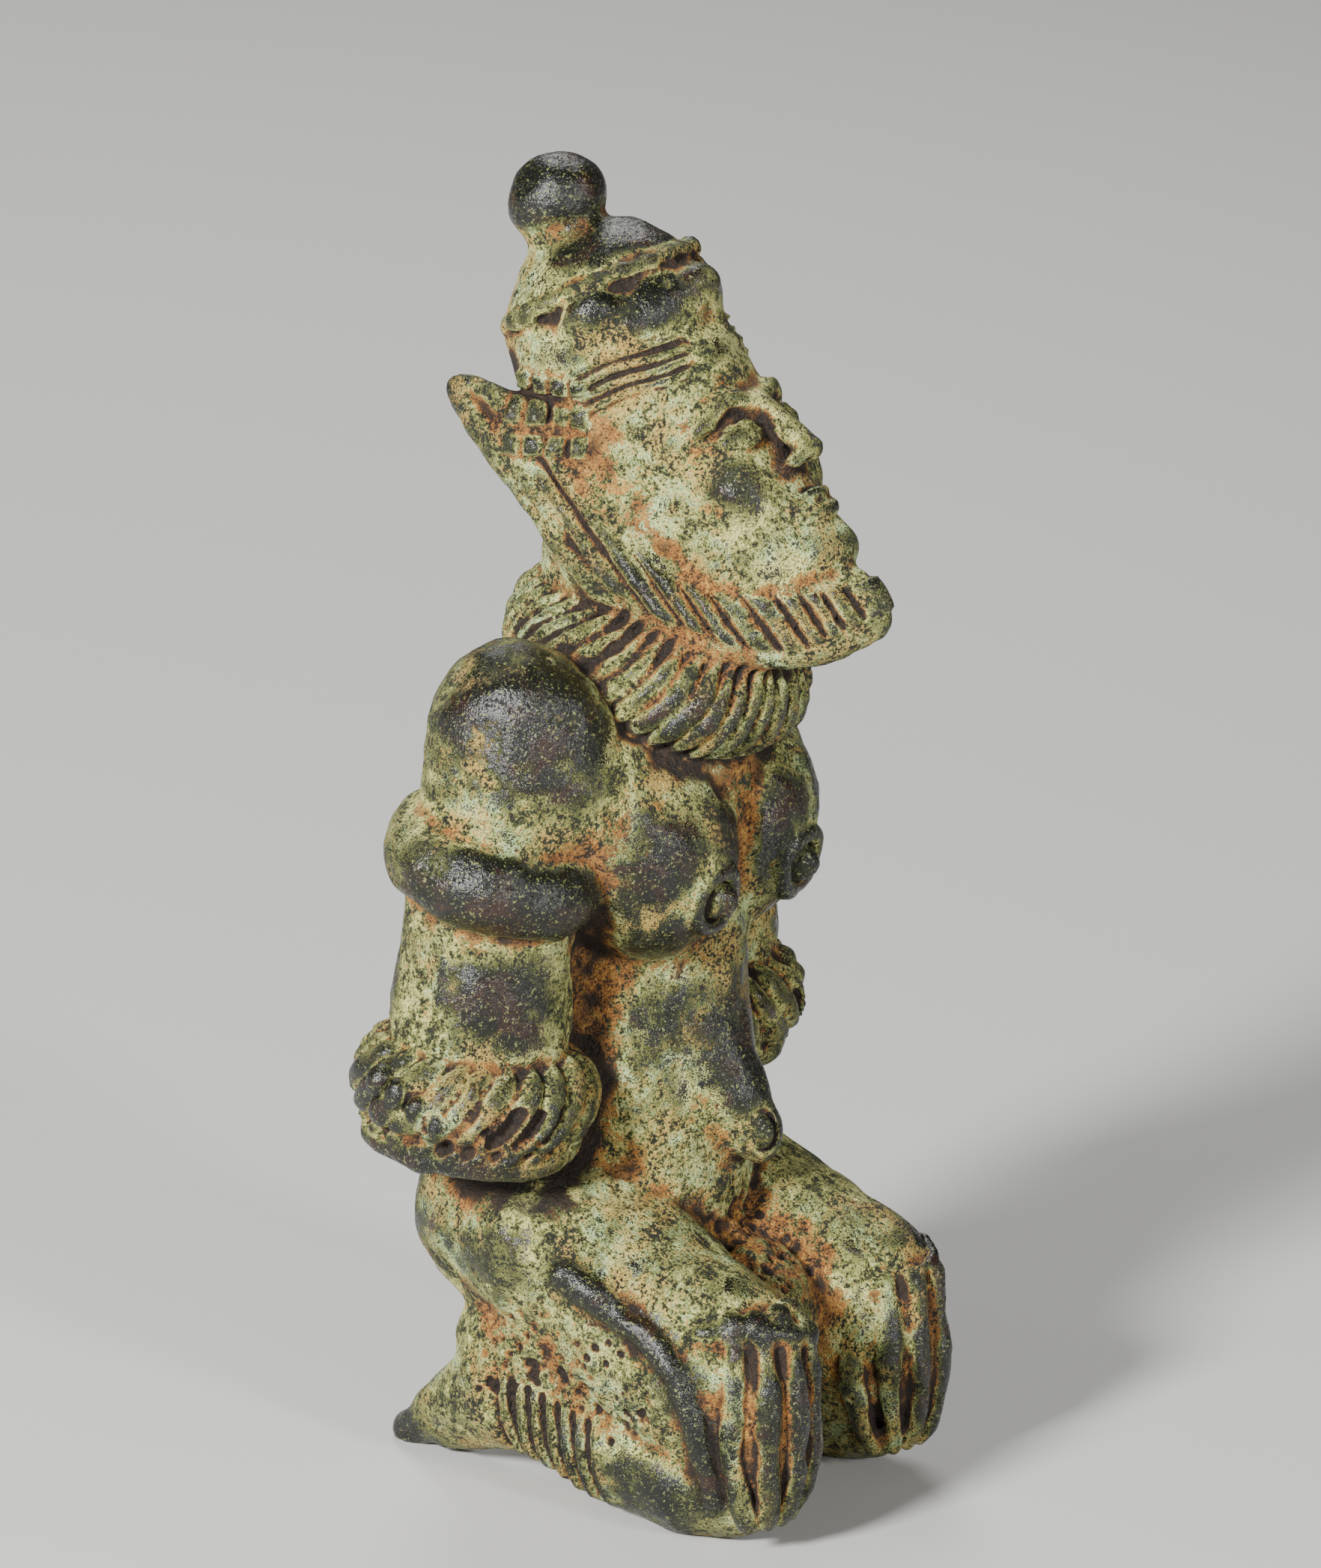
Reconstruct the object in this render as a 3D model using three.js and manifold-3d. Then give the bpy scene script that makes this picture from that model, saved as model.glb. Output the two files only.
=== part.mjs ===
// A small kneeling figure, cast in bronze in one piece. It sits back on its heels with its hands spread
// over its knees and its chin thrust forward and up. It wears a knobbed cap with a rolled brim, a beard
// along the jaw, a ribbed collar, an armlet on each upper arm, a plaited cuff on each forearm and coils
// round each ankle. The figure faces -Y, its left is +X and +Z is up. The middle of its underside is at
// the origin.
import * as THREE from "three";
import Module from "manifold-3d";
import { mergeVertices } from "three/addons/utils/BufferGeometryUtils.js";

// Driving dimensions, in millimetres.
const HEIGHT = 120;
const FOOTING = 0.7; // how deep the knees, shins and toes are worn flat where they stand

// The pose and the proportions are in modules. The standing figure is this many of them high.
const MODULES_HIGH = 117.65;
const MODULE = HEIGHT / MODULES_HIGH;

// Spreads, from the figure's mid-plane.
const SHOULDER_SPREAD = 17.3;
const ARM_SPREAD = 19;
const HIP_SPREAD = 8.5;
const KNEE_SPREAD = 12.3;
const BREAST_SPREAD = 7.2;

// Heights above the ground.
const SHOULDER_HEIGHT = 73.5;
const BREAST_HEIGHT = 60.3;
const ARMLET_HEIGHT = 61.2;
const CUFF_HEIGHT = 40.4;
const HIP_HEIGHT = 26.5;
const KNEE_HEIGHT = 12.5;

// The collar's rise above the shoulders, and the head's rise above the collar and its place before it.
const COLLAR_RISE = 3.1;
const HEAD_RISE = 20.7;
const HEAD_FORWARD = 2.1;

// Girths, as radii.
const ARM_GIRTH = 7.9;
const ARMLET_GIRTH = 3.9;
const CUFF_GIRTH = 3.6;
const COLLAR_GIRTH = 4.1;
const THIGH_GIRTH = 8.6;
const SHIN_GIRTH = 6.2;
const FINGER_GIRTH = 1.35;

// The carving's repeats.
const COLLAR_RIBS = 28;
const CUFF_PLAITS = 14;
const ANKLE_COILS = 5;
const FINGERS = 5;
const BEARD_LOCKS = 12;
const CAP_BOSSES = 4;

// The head leans back, and its rings and cap lean with it. Angles are in degrees.
const STANCE_LEAN = 5; // how far back the whole figure leans, to stand on its knees and its toes
const HEAD_LEAN = 33;
const COLLAR_LEAN = 16;
const ARMLET_LEAN = 18;
const CUFF_LEAN = 9;

// Centres of the neck's ring and of the head.
const COLLAR_CENTRE = [0, -6.9, SHOULDER_HEIGHT + COLLAR_RISE];
const HEAD_CENTRE = [0, COLLAR_CENTRE[1] - HEAD_FORWARD, COLLAR_CENTRE[2] + HEAD_RISE];

// How finely the surface is sampled, in modules, and how many triangles are kept of it.
const GRID_STEP = 0.68;
const MOST_TRIANGLES = 9400;

const { abs, atan2, cos, hypot, max, min, PI, sin, sqrt } = Math;
const clamp = (t, low, high) => max(low, min(high, t));
const wave = (turns) => cos(2 * PI * turns);
const degrees = (angle) => (angle * PI) / 180;

// Every shape below is a function of x, y, z that gives the distance to its surface, negative inside.

const union = (...shapes) => (x, y, z) => {
  let nearest = Infinity;
  for (const shape of shapes) nearest = min(nearest, shape(x, y, z));
  return nearest;
};

// A union whose creases are filled to a fillet of about the given width.
const soften = (a, b, fillet) => {
  const h = max(fillet - abs(a - b), 0) / fillet;
  return min(a, b) - (h * h * fillet) / 4;
};
const blend = (fillet, first, ...others) => (x, y, z) => {
  let nearest = first(x, y, z);
  for (const shape of others) nearest = soften(nearest, shape(x, y, z), fillet);
  return nearest;
};
const carve = (fillet, shape, hollow) => (x, y, z) => -soften(-shape(x, y, z), hollow(x, y, z), fillet);

const pair = (shape) => (x, y, z) => shape(abs(x), y, z);

// A shape that is only worked out near a ball that holds it, to save time.
const NEAR = 4;
const within = ([cx, cy, cz], radius, shape) => (x, y, z) => {
  const away = sqrt((x - cx) ** 2 + (y - cy) ** 2 + (z - cz) ** 2) - radius;
  return away > NEAR ? away : shape(x, y, z);
};

const ellipsoid = ([cx, cy, cz], [rx, ry, rz]) => (x, y, z) => {
  const [u, v, w] = [(x - cx) / rx, (y - cy) / ry, (z - cz) / rz];
  const near = sqrt(u * u + v * v + w * w);
  if (near < 1e-6) return -min(rx, ry, rz);
  return (near * (near - 1)) / sqrt((u / rx) ** 2 + (v / ry) ** 2 + (w / rz) ** 2);
};

// A strand follows points with the radius that radiusAt gives for a share of its length.
const strand = (points, radiusAt) => {
  const steps = points.slice(1).map((p, i) => p.map((c, k) => c - points[i][k]));
  const lengths = steps.map((step) => hypot(...step));
  const total = lengths.reduce((a, b) => a + b, 0);
  return (x, y, z) => {
    let nearest = Infinity;
    let passed = 0;
    for (let i = 0; i < lengths.length; i++) {
      const [ax, ay, az] = points[i];
      const [dx, dy, dz] = steps[i];
      const along = ((x - ax) * dx + (y - ay) * dy + (z - az) * dz) / lengths[i] ** 2;
      const t = along < 0 ? 0 : along > 1 ? 1 : along;
      const away = sqrt((x - ax - t * dx) ** 2 + (y - ay - t * dy) ** 2 + (z - az - t * dz) ** 2);
      nearest = min(nearest, away - radiusAt((passed + t * lengths[i]) / total));
      passed += lengths[i];
    }
    return nearest;
  };
};
const limb = (a, b, radiusA, radiusB) => strand([a, b], (t) => radiusA + (radiusB - radiusA) * t);
const smooth = (points, steps) => {
  const curve = new THREE.CatmullRomCurve3(points.map((p) => new THREE.Vector3(...p)));
  return curve.getPoints(steps).map((p) => p.toArray());
};

// A shape made in a frame of its own, at a centre, leaning about the X axis.
const leaning = ([cx, cy, cz], angle, shape) => {
  const [c, s] = [cos(degrees(angle)), sin(degrees(angle))];
  return (x, y, z) => shape(x - cx, (y - cy) * c + (z - cz) * s, -(y - cy) * s + (z - cz) * c);
};

// A ring round the Z axis. girthAt gives its radius there, by the turn round the axis and the height.
const ring = ([rx, ry], girthAt, tallness = 1) => (x, y, z) => {
  const turn = atan2(y / ry, x / rx);
  const reach = sqrt((rx * cos(turn)) ** 2 + (ry * sin(turn)) ** 2);
  const out = sqrt(x * x + y * y) - reach;
  return sqrt(out * out + (z / tallness) ** 2) - girthAt(turn / (2 * PI), z);
};

// Torso: a chest and a belly that narrow a little between them, breasts with ringed nipples, and a long
// navel.
function torso() {
  const waist = (SHOULDER_HEIGHT + HIP_HEIGHT) / 2;
  const chest = ellipsoid([0, -4.5, SHOULDER_HEIGHT - 8.5], [16.5, 10.8, 13]);
  const belly = limb([0, -3.5, waist], [0, -3, HIP_HEIGHT + 4.5], 11, 12.2);
  const navel = limb([0, -9.8, waist - 4], [0, -16.8, waist - 15.5], 4.2, 2.3);
  const navelTip = ellipsoid([0, -17.6, waist - 16.4], [2.2, 2.1, 2.4]);
  const cleft = limb([0, -17.8, BREAST_HEIGHT + 6.7], [0, -18, BREAST_HEIGHT - 7.3], 1.3, 1.3);
  const body = blend(7, chest, belly);
  return blend(0.8, blend(2.5, body, navel), navelTip, carve(1, breasts(), cleft));
}

function breasts() {
  const swell = ellipsoid([BREAST_SPREAD, -10, BREAST_HEIGHT], [8.4, 7.8, 9.4]);
  const tip = [BREAST_SPREAD + 0.4, -17, BREAST_HEIGHT - 3.1];
  const nipple = ellipsoid(tip, [1.7, 2.1, 1.7]);
  const areola = leaning(tip, -76, ring([2.7, 2.7], () => 0.85));
  return pair(within([BREAST_SPREAD, -11, BREAST_HEIGHT - 0.8], 10.5, blend(0.4, swell, nipple, areola)));
}

// Shoulders and upper arms, which flow into the chest. A web of metal joins each arm to the body's side.
function shoulders() {
  const shoulder = [SHOULDER_SPREAD, -2.6, SHOULDER_HEIGHT];
  const upperArm = limb(shoulder, [ARM_SPREAD, -1.2, ARMLET_HEIGHT], ARM_GIRTH * 0.95, ARM_GIRTH * 0.94);
  const breastTop = [BREAST_SPREAD + 3, -8.6, BREAST_HEIGHT + 2.7];
  const front = limb([SHOULDER_SPREAD - 1, -4, SHOULDER_HEIGHT - 3], breastTop, 6.4, 6.6);
  const armpit = [ARM_SPREAD - 7.5, -2, SHOULDER_HEIGHT - 7.5];
  const web = limb(armpit, [ARM_SPREAD - 7, 0, CUFF_HEIGHT - 2], 4, 4.5);
  return pair(blend(3, upperArm, front, web));
}

// Arms below the shoulder: each hangs to an elbow inside the cuff, with an armlet halfway down.
function arms() {
  const armletCentre = [ARM_SPREAD, -1.2, ARMLET_HEIGHT];
  const cuffCentre = [ARM_SPREAD, 1, CUFF_HEIGHT];
  const lower = limb(armletCentre, cuffCentre, ARM_GIRTH * 0.94, ARM_GIRTH * 1.04);
  const armlet = leaning(armletCentre, ARMLET_LEAN, ring([6.2, 6.2], () => ARMLET_GIRTH));
  const middle = [ARM_SPREAD, 0, (ARMLET_HEIGHT + CUFF_HEIGHT) / 2];
  const reach = (ARMLET_HEIGHT - CUFF_HEIGHT) / 2 + 13;
  return pair(within(middle, reach, union(lower, armlet, cuff(cuffCentre))));
}

// Cuff: a thick plait, two leaning rows that meet in a chevron, over a plain cord round its lower edge.
function cuff(centre) {
  const plait = (turn, z) => CUFF_GIRTH + 0.4 * wave(turn * CUFF_PLAITS + abs(z) / 5);
  const cord = ring([8.4, 8.4], () => 1.5);
  const band = ring([7.2, 7.2], plait, 1.2);
  return leaning(centre, CUFF_LEAN, union(band, (x, y, z) => cord(x, y, z + 4)));
}

// Neck and collar. The collar's ribs lean round it like the strands of a rope.
function neck() {
  const [x, y, z] = COLLAR_CENTRE;
  const throat = limb([x, y + 2, z - 4.6], [x, y + 2.2, HEAD_CENTRE[2] - 9.3], 9.2, 8.6);
  const ribs = (turn, height) => COLLAR_GIRTH + 0.45 * wave(turn * COLLAR_RIBS + height / 9);
  const collar = leaning(COLLAR_CENTRE, COLLAR_LEAN, ring([9, 9.9], ribs, 1.15));
  return union(throat, within(COLLAR_CENTRE, 15, collar));
}

// Legs: the thigh and the forearm on it are one mass that ends in the knee, and a thin web of metal
// joins it to the shin, which lies back from the knee to a pointed foot.
function legs() {
  const hip = [HIP_SPREAD, 1.5, HIP_HEIGHT];
  const knee = [KNEE_SPREAD, -21.8, KNEE_HEIGHT];
  const ankle = [KNEE_SPREAD, -2, 10];
  const thigh = limb(hip, [KNEE_SPREAD - 0.5, -18, 16], THIGH_GIRTH + 1.4, THIGH_GIRTH);
  const cap = ellipsoid(knee, [6.8, 7.6, 11.8]);
  const forearm = limb([ARM_SPREAD - 3.5, -3, 26], [KNEE_SPREAD, -19, 19], 5.8, 5.4);
  const shin = limb([KNEE_SPREAD + 0.4, -18, SHIN_GIRTH + 0.4], ankle, SHIN_GIRTH, SHIN_GIRTH - 1);
  const foot = limb([KNEE_SPREAD - 0.2, 1.2, 10.4], [KNEE_SPREAD - 1.8, 12.8, 4.6], 6, 1.5);
  const web = ellipsoid([KNEE_SPREAD - 0.1, -7, 15], [6.2, 13.5, 8.5]);
  const flesh = blend(2.5, thigh, cap, forearm);
  return pair(union(blend(1.5, flesh, web, foot), blend(1.5, shin, web, cap), anklet(ankle), fingers(knee)));
}

// Anklet: coils round the ankle, side by side along the shin.
function anklet([x, y, z]) {
  const pitch = 1.6;
  const girth = (t) => SHIN_GIRTH - 0.2 + 0.35 * wave(t * ANKLE_COILS);
  return strand([[x, y, z], [x + 0.3, y - pitch * ANKLE_COILS, z - 1.6]], girth);
}

// Fingers: long ridges that fan out over the front of the knee.
function fingers([x, y, z]) {
  const ridges = [];
  for (let i = 0; i < FINGERS; i++) {
    const fan = i / (FINGERS - 1) - 0.5;
    const turn = fan * 2.1 + 0.1;
    const over = (reach, level) => [x + sin(turn) * reach, y - cos(turn) * reach * 1.1, z + level];
    const route = smooth([over(4.2, 9.2), over(6, 4.5), over(6.4, -2.5), over(5, -9)], 8);
    ridges.push(strand(route, (t) => FINGER_GIRTH * (1 - 0.4 * t * t)));
  }
  return within([x, y, z], 13, blend(0.4, ...ridges));
}

// Head, in a frame of its own that leans back: x to the figure's left, y to the back, z to the crown.
function head() {
  const skull = ellipsoid([0, 1, 2], [8.7, 9.8, 16]);
  const nape = ellipsoid([0, 4.6, 2], [8.4, 7, 13.5]);
  const jaw = ellipsoid([0, -1.2, -11], [7.6, 8, 11.5]);
  const flesh = blend(2, skull, nape, jaw);
  const whole = union(blend(0.8, flesh, face()), cap(), beard());
  return leaning(HEAD_CENTRE, -HEAD_LEAN, within([0, 0, 0], 31, whole));
}

// Face: calm and even, with brow, eyes, nose and mouth a third of the face apart.
function face() {
  const browHeight = -1;
  const noseHeight = -8.4;
  const mouthHeight = -11.6;
  const browLine = [
    [0.6, -8.6, browHeight - 0.6],
    [3.6, -8.3, browHeight + 0.5],
    [6.8, -5.6, browHeight - 0.8],
  ];
  const brow = strand(smooth(browLine, 6), () => 1);
  const eye = ellipsoid([3.5, -8.1, browHeight - 2.9], [2.1, 1.5, 1.25]);
  const nose = limb([0, -9, browHeight], [0, -10.6, noseHeight + 1], 1, 1.5);
  const nostril = ellipsoid([1.4, -9.7, noseHeight + 0.6], [1, 1.2, 0.9]);
  const lips = ellipsoid([0, -8.9, mouthHeight], [3.1, 1.7, 1.5]);
  const chin = ellipsoid([0, -8, -16], [3.4, 2.4, 2.6]);
  return union(pair(union(brow, eye, nostril)), nose, lips, chin);
}

// Cap: a dome with a narrow ridge, a rolled brim with four bosses and a knob on top.
function cap() {
  const middle = 1;
  const dome = ellipsoid([0, middle, 9.5], [9, 9.9, 10.9]);
  const stalk = limb([0, 1, 18], [0, 0, 22], 3.9, 3.6);
  const knob = ellipsoid([0, -0.2, 22.9], [4.7, 4.7, 4]);
  const ridge = ring([8, 8.8], () => 1);
  const brim = ring([7.6, 8.4], (turn) => 2.6 + 0.6 * wave(turn * CAP_BOSSES));
  const raised = (shape, height) => (x, y, z) => shape(x, y - middle, z - height);
  return blend(0.8, dome, blend(0.6, stalk, knob), raised(ridge, 14), raised(brim, 9));
}

// Beard: locks laid side by side along the jaw between an inner line and a rim, from a leaf-shaped flap
// that stands off behind each ear to the chin.
function beard() {
  const count = 24;
  const innerLine = [
    [8.6, 7, 6], [8.4, 6.6, -2], [7.8, 4.7, -8.5], [6.8, 2, -13.3], [4.8, -3.4, -17.3], [0, -8.4, -19.8],
  ];
  const outerLine = [
    [9.2, 12, 6], [8.8, 10.6, -4.5], [8.4, 8.2, -11], [7.6, 4.3, -16.7], [4.4, -1.6, -22.6], [0, -8.2, -23.6],
  ];
  const [inner, outer] = [innerLine, outerLine].map((line) => smooth(line, count));
  const across = (t, share) => {
    const [a, b] = [inner, outer].map((line) => line[Math.round(clamp(t, 0, 1) * count)]);
    return a.map((c, k) => c + (b[k] - c) * share);
  };
  const locks = [];
  for (let i = 0; i < BEARD_LOCKS; i++) {
    const t = (i + 0.5) / BEARD_LOCKS;
    locks.push(limb(across(t - 0.04, 0), across(t + 0.04, 0.95), 1.35, 1.2));
  }
  const plates = [0.3, 0.72].map((share) => {
    const line = inner.map((_, i) => across(i / count, share)).map(([x, y, z]) => [x - 0.9, y, z]);
    return strand(line, (t) => 1.9 + 0.3 * t);
  });
  return pair(union(flap(), strand(outer, () => 1.1), ...plates, ...locks));
}

// Flap: a broad pointed leaf with a groove along it.
function flap() {
  const leaf = ellipsoid([0, 0, 0], [1.9, 3.5, 10.5]);
  const groove = limb([2.2, 0.4, -6], [2.2, 0.4, 7], 0.9, 0.9);
  return leaning([8.2, 9.9, 3.4], -19, carve(0.5, leaf, groove));
}

// The whole figure. The lap is the sheet of metal between the thighs.
function figure() {
  const seat = pair(ellipsoid([HIP_SPREAD, 2.6, HIP_HEIGHT + 1], [9, 9, 9.5]));
  const lap = ellipsoid([0, -10.5, 17.5], [10, 12, 7.2]);
  const trunk = blend(3, torso(), seat, lap, shoulders());
  return blend(0.7, trunk, blend(2.6, neck(), head()), arms(), legs());
}

// The distances on a grid of corners round the shape. A block of corners that lies wholly inside or
// outside gets the distance at its middle.
function sample(shape, low, high, step) {
  const block = 4;
  const far = block * step * 1.4;
  const size = low.map((l, k) => Math.ceil((high[k] - l) / step / block) * block);
  const values = new Float32Array(size[0] * size[1] * size[2]);
  const index = (i, j, k) => (k * size[1] + j) * size[0] + i;
  const distance = (i, j, k) => shape(low[0] + i * step, low[1] + j * step, low[2] + k * step);
  const half = (block - 1) / 2;
  for (let k = 0; k < size[2]; k += block)
    for (let j = 0; j < size[1]; j += block)
      for (let i = 0; i < size[0]; i += block) {
        const middle = distance(i + half, j + half, k + half);
        for (let n = 0; n < block ** 3; n++) {
          const [a, b, c] = [i + (n & 3), j + ((n >> 2) & 3), k + (n >> 4)];
          values[index(a, b, c)] = abs(middle) > far ? middle : distance(a, b, c);
        }
      }
  return { values, size, index };
}

// Fills corners until no face and no cube of the grid holds two corners that touch only across a diagonal,
// so that the surface drawn between inside and outside never meets itself in a point or a line.
function settle({ values, size, index }) {
  const filled = -1e-3;
  const offsets = [[0, 0, 0], [1, 0, 0], [0, 1, 0], [1, 1, 0], [0, 0, 1], [1, 0, 1], [0, 1, 1], [1, 1, 1]];
  const faces = [[0, 1, 3, 2], [4, 5, 7, 6], [0, 1, 5, 4], [2, 3, 7, 6], [0, 2, 6, 4], [1, 3, 7, 5]];
  const diagonals = [[0, 7], [1, 6], [2, 5], [3, 4]];
  const near = offsets.map((offset) => index(...offset));
  for (let changed = true; changed; ) {
    changed = false;
    for (let k = 0; k + 1 < size[2]; k++)
      for (let j = 0; j + 1 < size[1]; j++)
        for (let i = 0; i + 1 < size[0]; i++) {
          const first = index(i, j, k);
          let count = 0;
          for (const step of near) count += values[first + step] < 0 ? 1 : 0;
          if (count < 2 || count > 6) continue;
          const inside = near.map((step) => values[first + step] < 0);
          const crossed = faces.find(([a, b, c, d]) =>
            inside[a] === inside[c] && inside[b] === inside[d] && inside[a] !== inside[b]);
          const opposed = diagonals.find(([a, b]) =>
            inside[a] === inside[b] && (inside[a] ? count === 2 : count === 6));
          if (!crossed && !opposed) continue;
          const corners = crossed || near.map((_, n) => n);
          const open = corners.filter((n) => !inside[n]).map((n) => first + near[n]);
          values[open.reduce((a, b) => (values[a] < values[b] ? a : b))] = filled;
          changed = true;
        }
  }
}

// Fills what the outside can't reach, and empties what doesn't hang together with the largest piece.
function tidy({ values, size, index }) {
  const label = new Int32Array(values.length);
  const counts = [0];
  const steps = [1, size[0], size[0] * size[1]];
  const limits = (n) => [n % size[0], Math.floor(n / size[0]) % size[1], Math.floor(n / steps[2])];
  for (let start = 0; start < values.length; start++) {
    if (label[start]) continue;
    const stack = [start];
    const solid = values[start] < 0;
    const name = counts.push(0) - 1;
    label[start] = name;
    while (stack.length) {
      const n = stack.pop();
      counts[name]++;
      const at = limits(n);
      for (let k = 0; k < 3; k++)
        for (const side of [-1, 1]) {
          const next = n + side * steps[k];
          if (at[k] + side < 0 || at[k] + side >= size[k]) continue;
          if (label[next] || values[next] < 0 !== solid) continue;
          label[next] = name;
          stack.push(next);
        }
    }
  }
  const outside = label[index(0, 0, 0)];
  let body = 0;
  for (let n = 0; n < values.length; n++)
    if (values[n] < 0 && (!body || counts[label[n]] > counts[body])) body = label[n];
  for (let n = 0; n < values.length; n++) {
    if (values[n] < 0 && label[n] !== body) values[n] = 1;
    if (values[n] >= 0 && label[n] !== outside) values[n] = -1;
  }
}

// The surface as one closed mesh: a point in each cell that it passes through, and two triangles across
// each grid edge that it cuts.
function surface(shape, low, high, step) {
  const grid = sample(shape, low, high, step);
  tidy(grid);
  settle(grid);
  const { values, size, index } = grid;
  const points = [];
  const pointOf = new Map();
  const edges = [];
  for (let a = 0; a < 8; a++) for (let k = 0; k < 3; k++) if (!(a & (1 << k))) edges.push([a, a | (1 << k)]);
  const bits = (n) => [n & 1, (n >> 1) & 1, (n >> 2) & 1];
  const pointIn = (cell) => {
    const key = index(...cell);
    if (pointOf.has(key)) return pointOf.get(key);
    const sum = [0, 0, 0];
    let cuts = 0;
    for (const [a, b] of edges) {
      const [ca, cb] = [bits(a), bits(b)];
      const [va, vb] = [ca, cb].map((c) => values[index(cell[0] + c[0], cell[1] + c[1], cell[2] + c[2])]);
      if (va < 0 === vb < 0) continue;
      const t = clamp(va / (va - vb), 0.05, 0.95);
      sum.forEach((_, k) => (sum[k] += ca[k] + t * (cb[k] - ca[k])));
      cuts++;
    }
    const place = sum.map((s, k) => low[k] + (cell[k] + s / cuts) * step);
    points.push(drawn(shape, place, step * 0.3));
    pointOf.set(key, points.length - 1);
    return points.length - 1;
  };
  const triangles = [];
  for (let k = 1; k + 1 < size[2]; k++)
    for (let j = 1; j + 1 < size[1]; j++)
      for (let i = 1; i + 1 < size[0]; i++) {
        const here = values[index(i, j, k)] < 0;
        for (let axis = 0; axis < 3; axis++) {
          const corner = [i, j, k];
          const next = corner.map((c, n) => c + (n === axis ? 1 : 0));
          if (here === values[index(...next)] < 0) continue;
          const [u, v] = [(axis + 1) % 3, (axis + 2) % 3];
          const around = [[1, 1], [0, 1], [0, 0], [1, 0]].map(([p, q]) =>
            pointIn(corner.map((c, n) => c - (n === u ? p : 0) - (n === v ? q : 0))));
          const [a, b, c, d] = here ? around : around.reverse();
          triangles.push([a, b, c], [a, c, d]);
        }
      }
  return { points, triangles };
}

// A point drawn on to the surface, by no more than a limit.
function drawn(shape, place, limit) {
  const reach = 0.05;
  const beside = (axis, side) => place.map((c, n) => c + (n === axis ? side * reach : 0));
  const slope = [0, 1, 2].map((k) => (shape(...beside(k, 1)) - shape(...beside(k, -1))) / (2 * reach));
  const here = shape(...place);
  const steep = max(hypot(...slope) ** 2, 0.25);
  return place.map((c, k) => c - clamp((here * slope[k]) / steep, -limit, limit));
}

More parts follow.
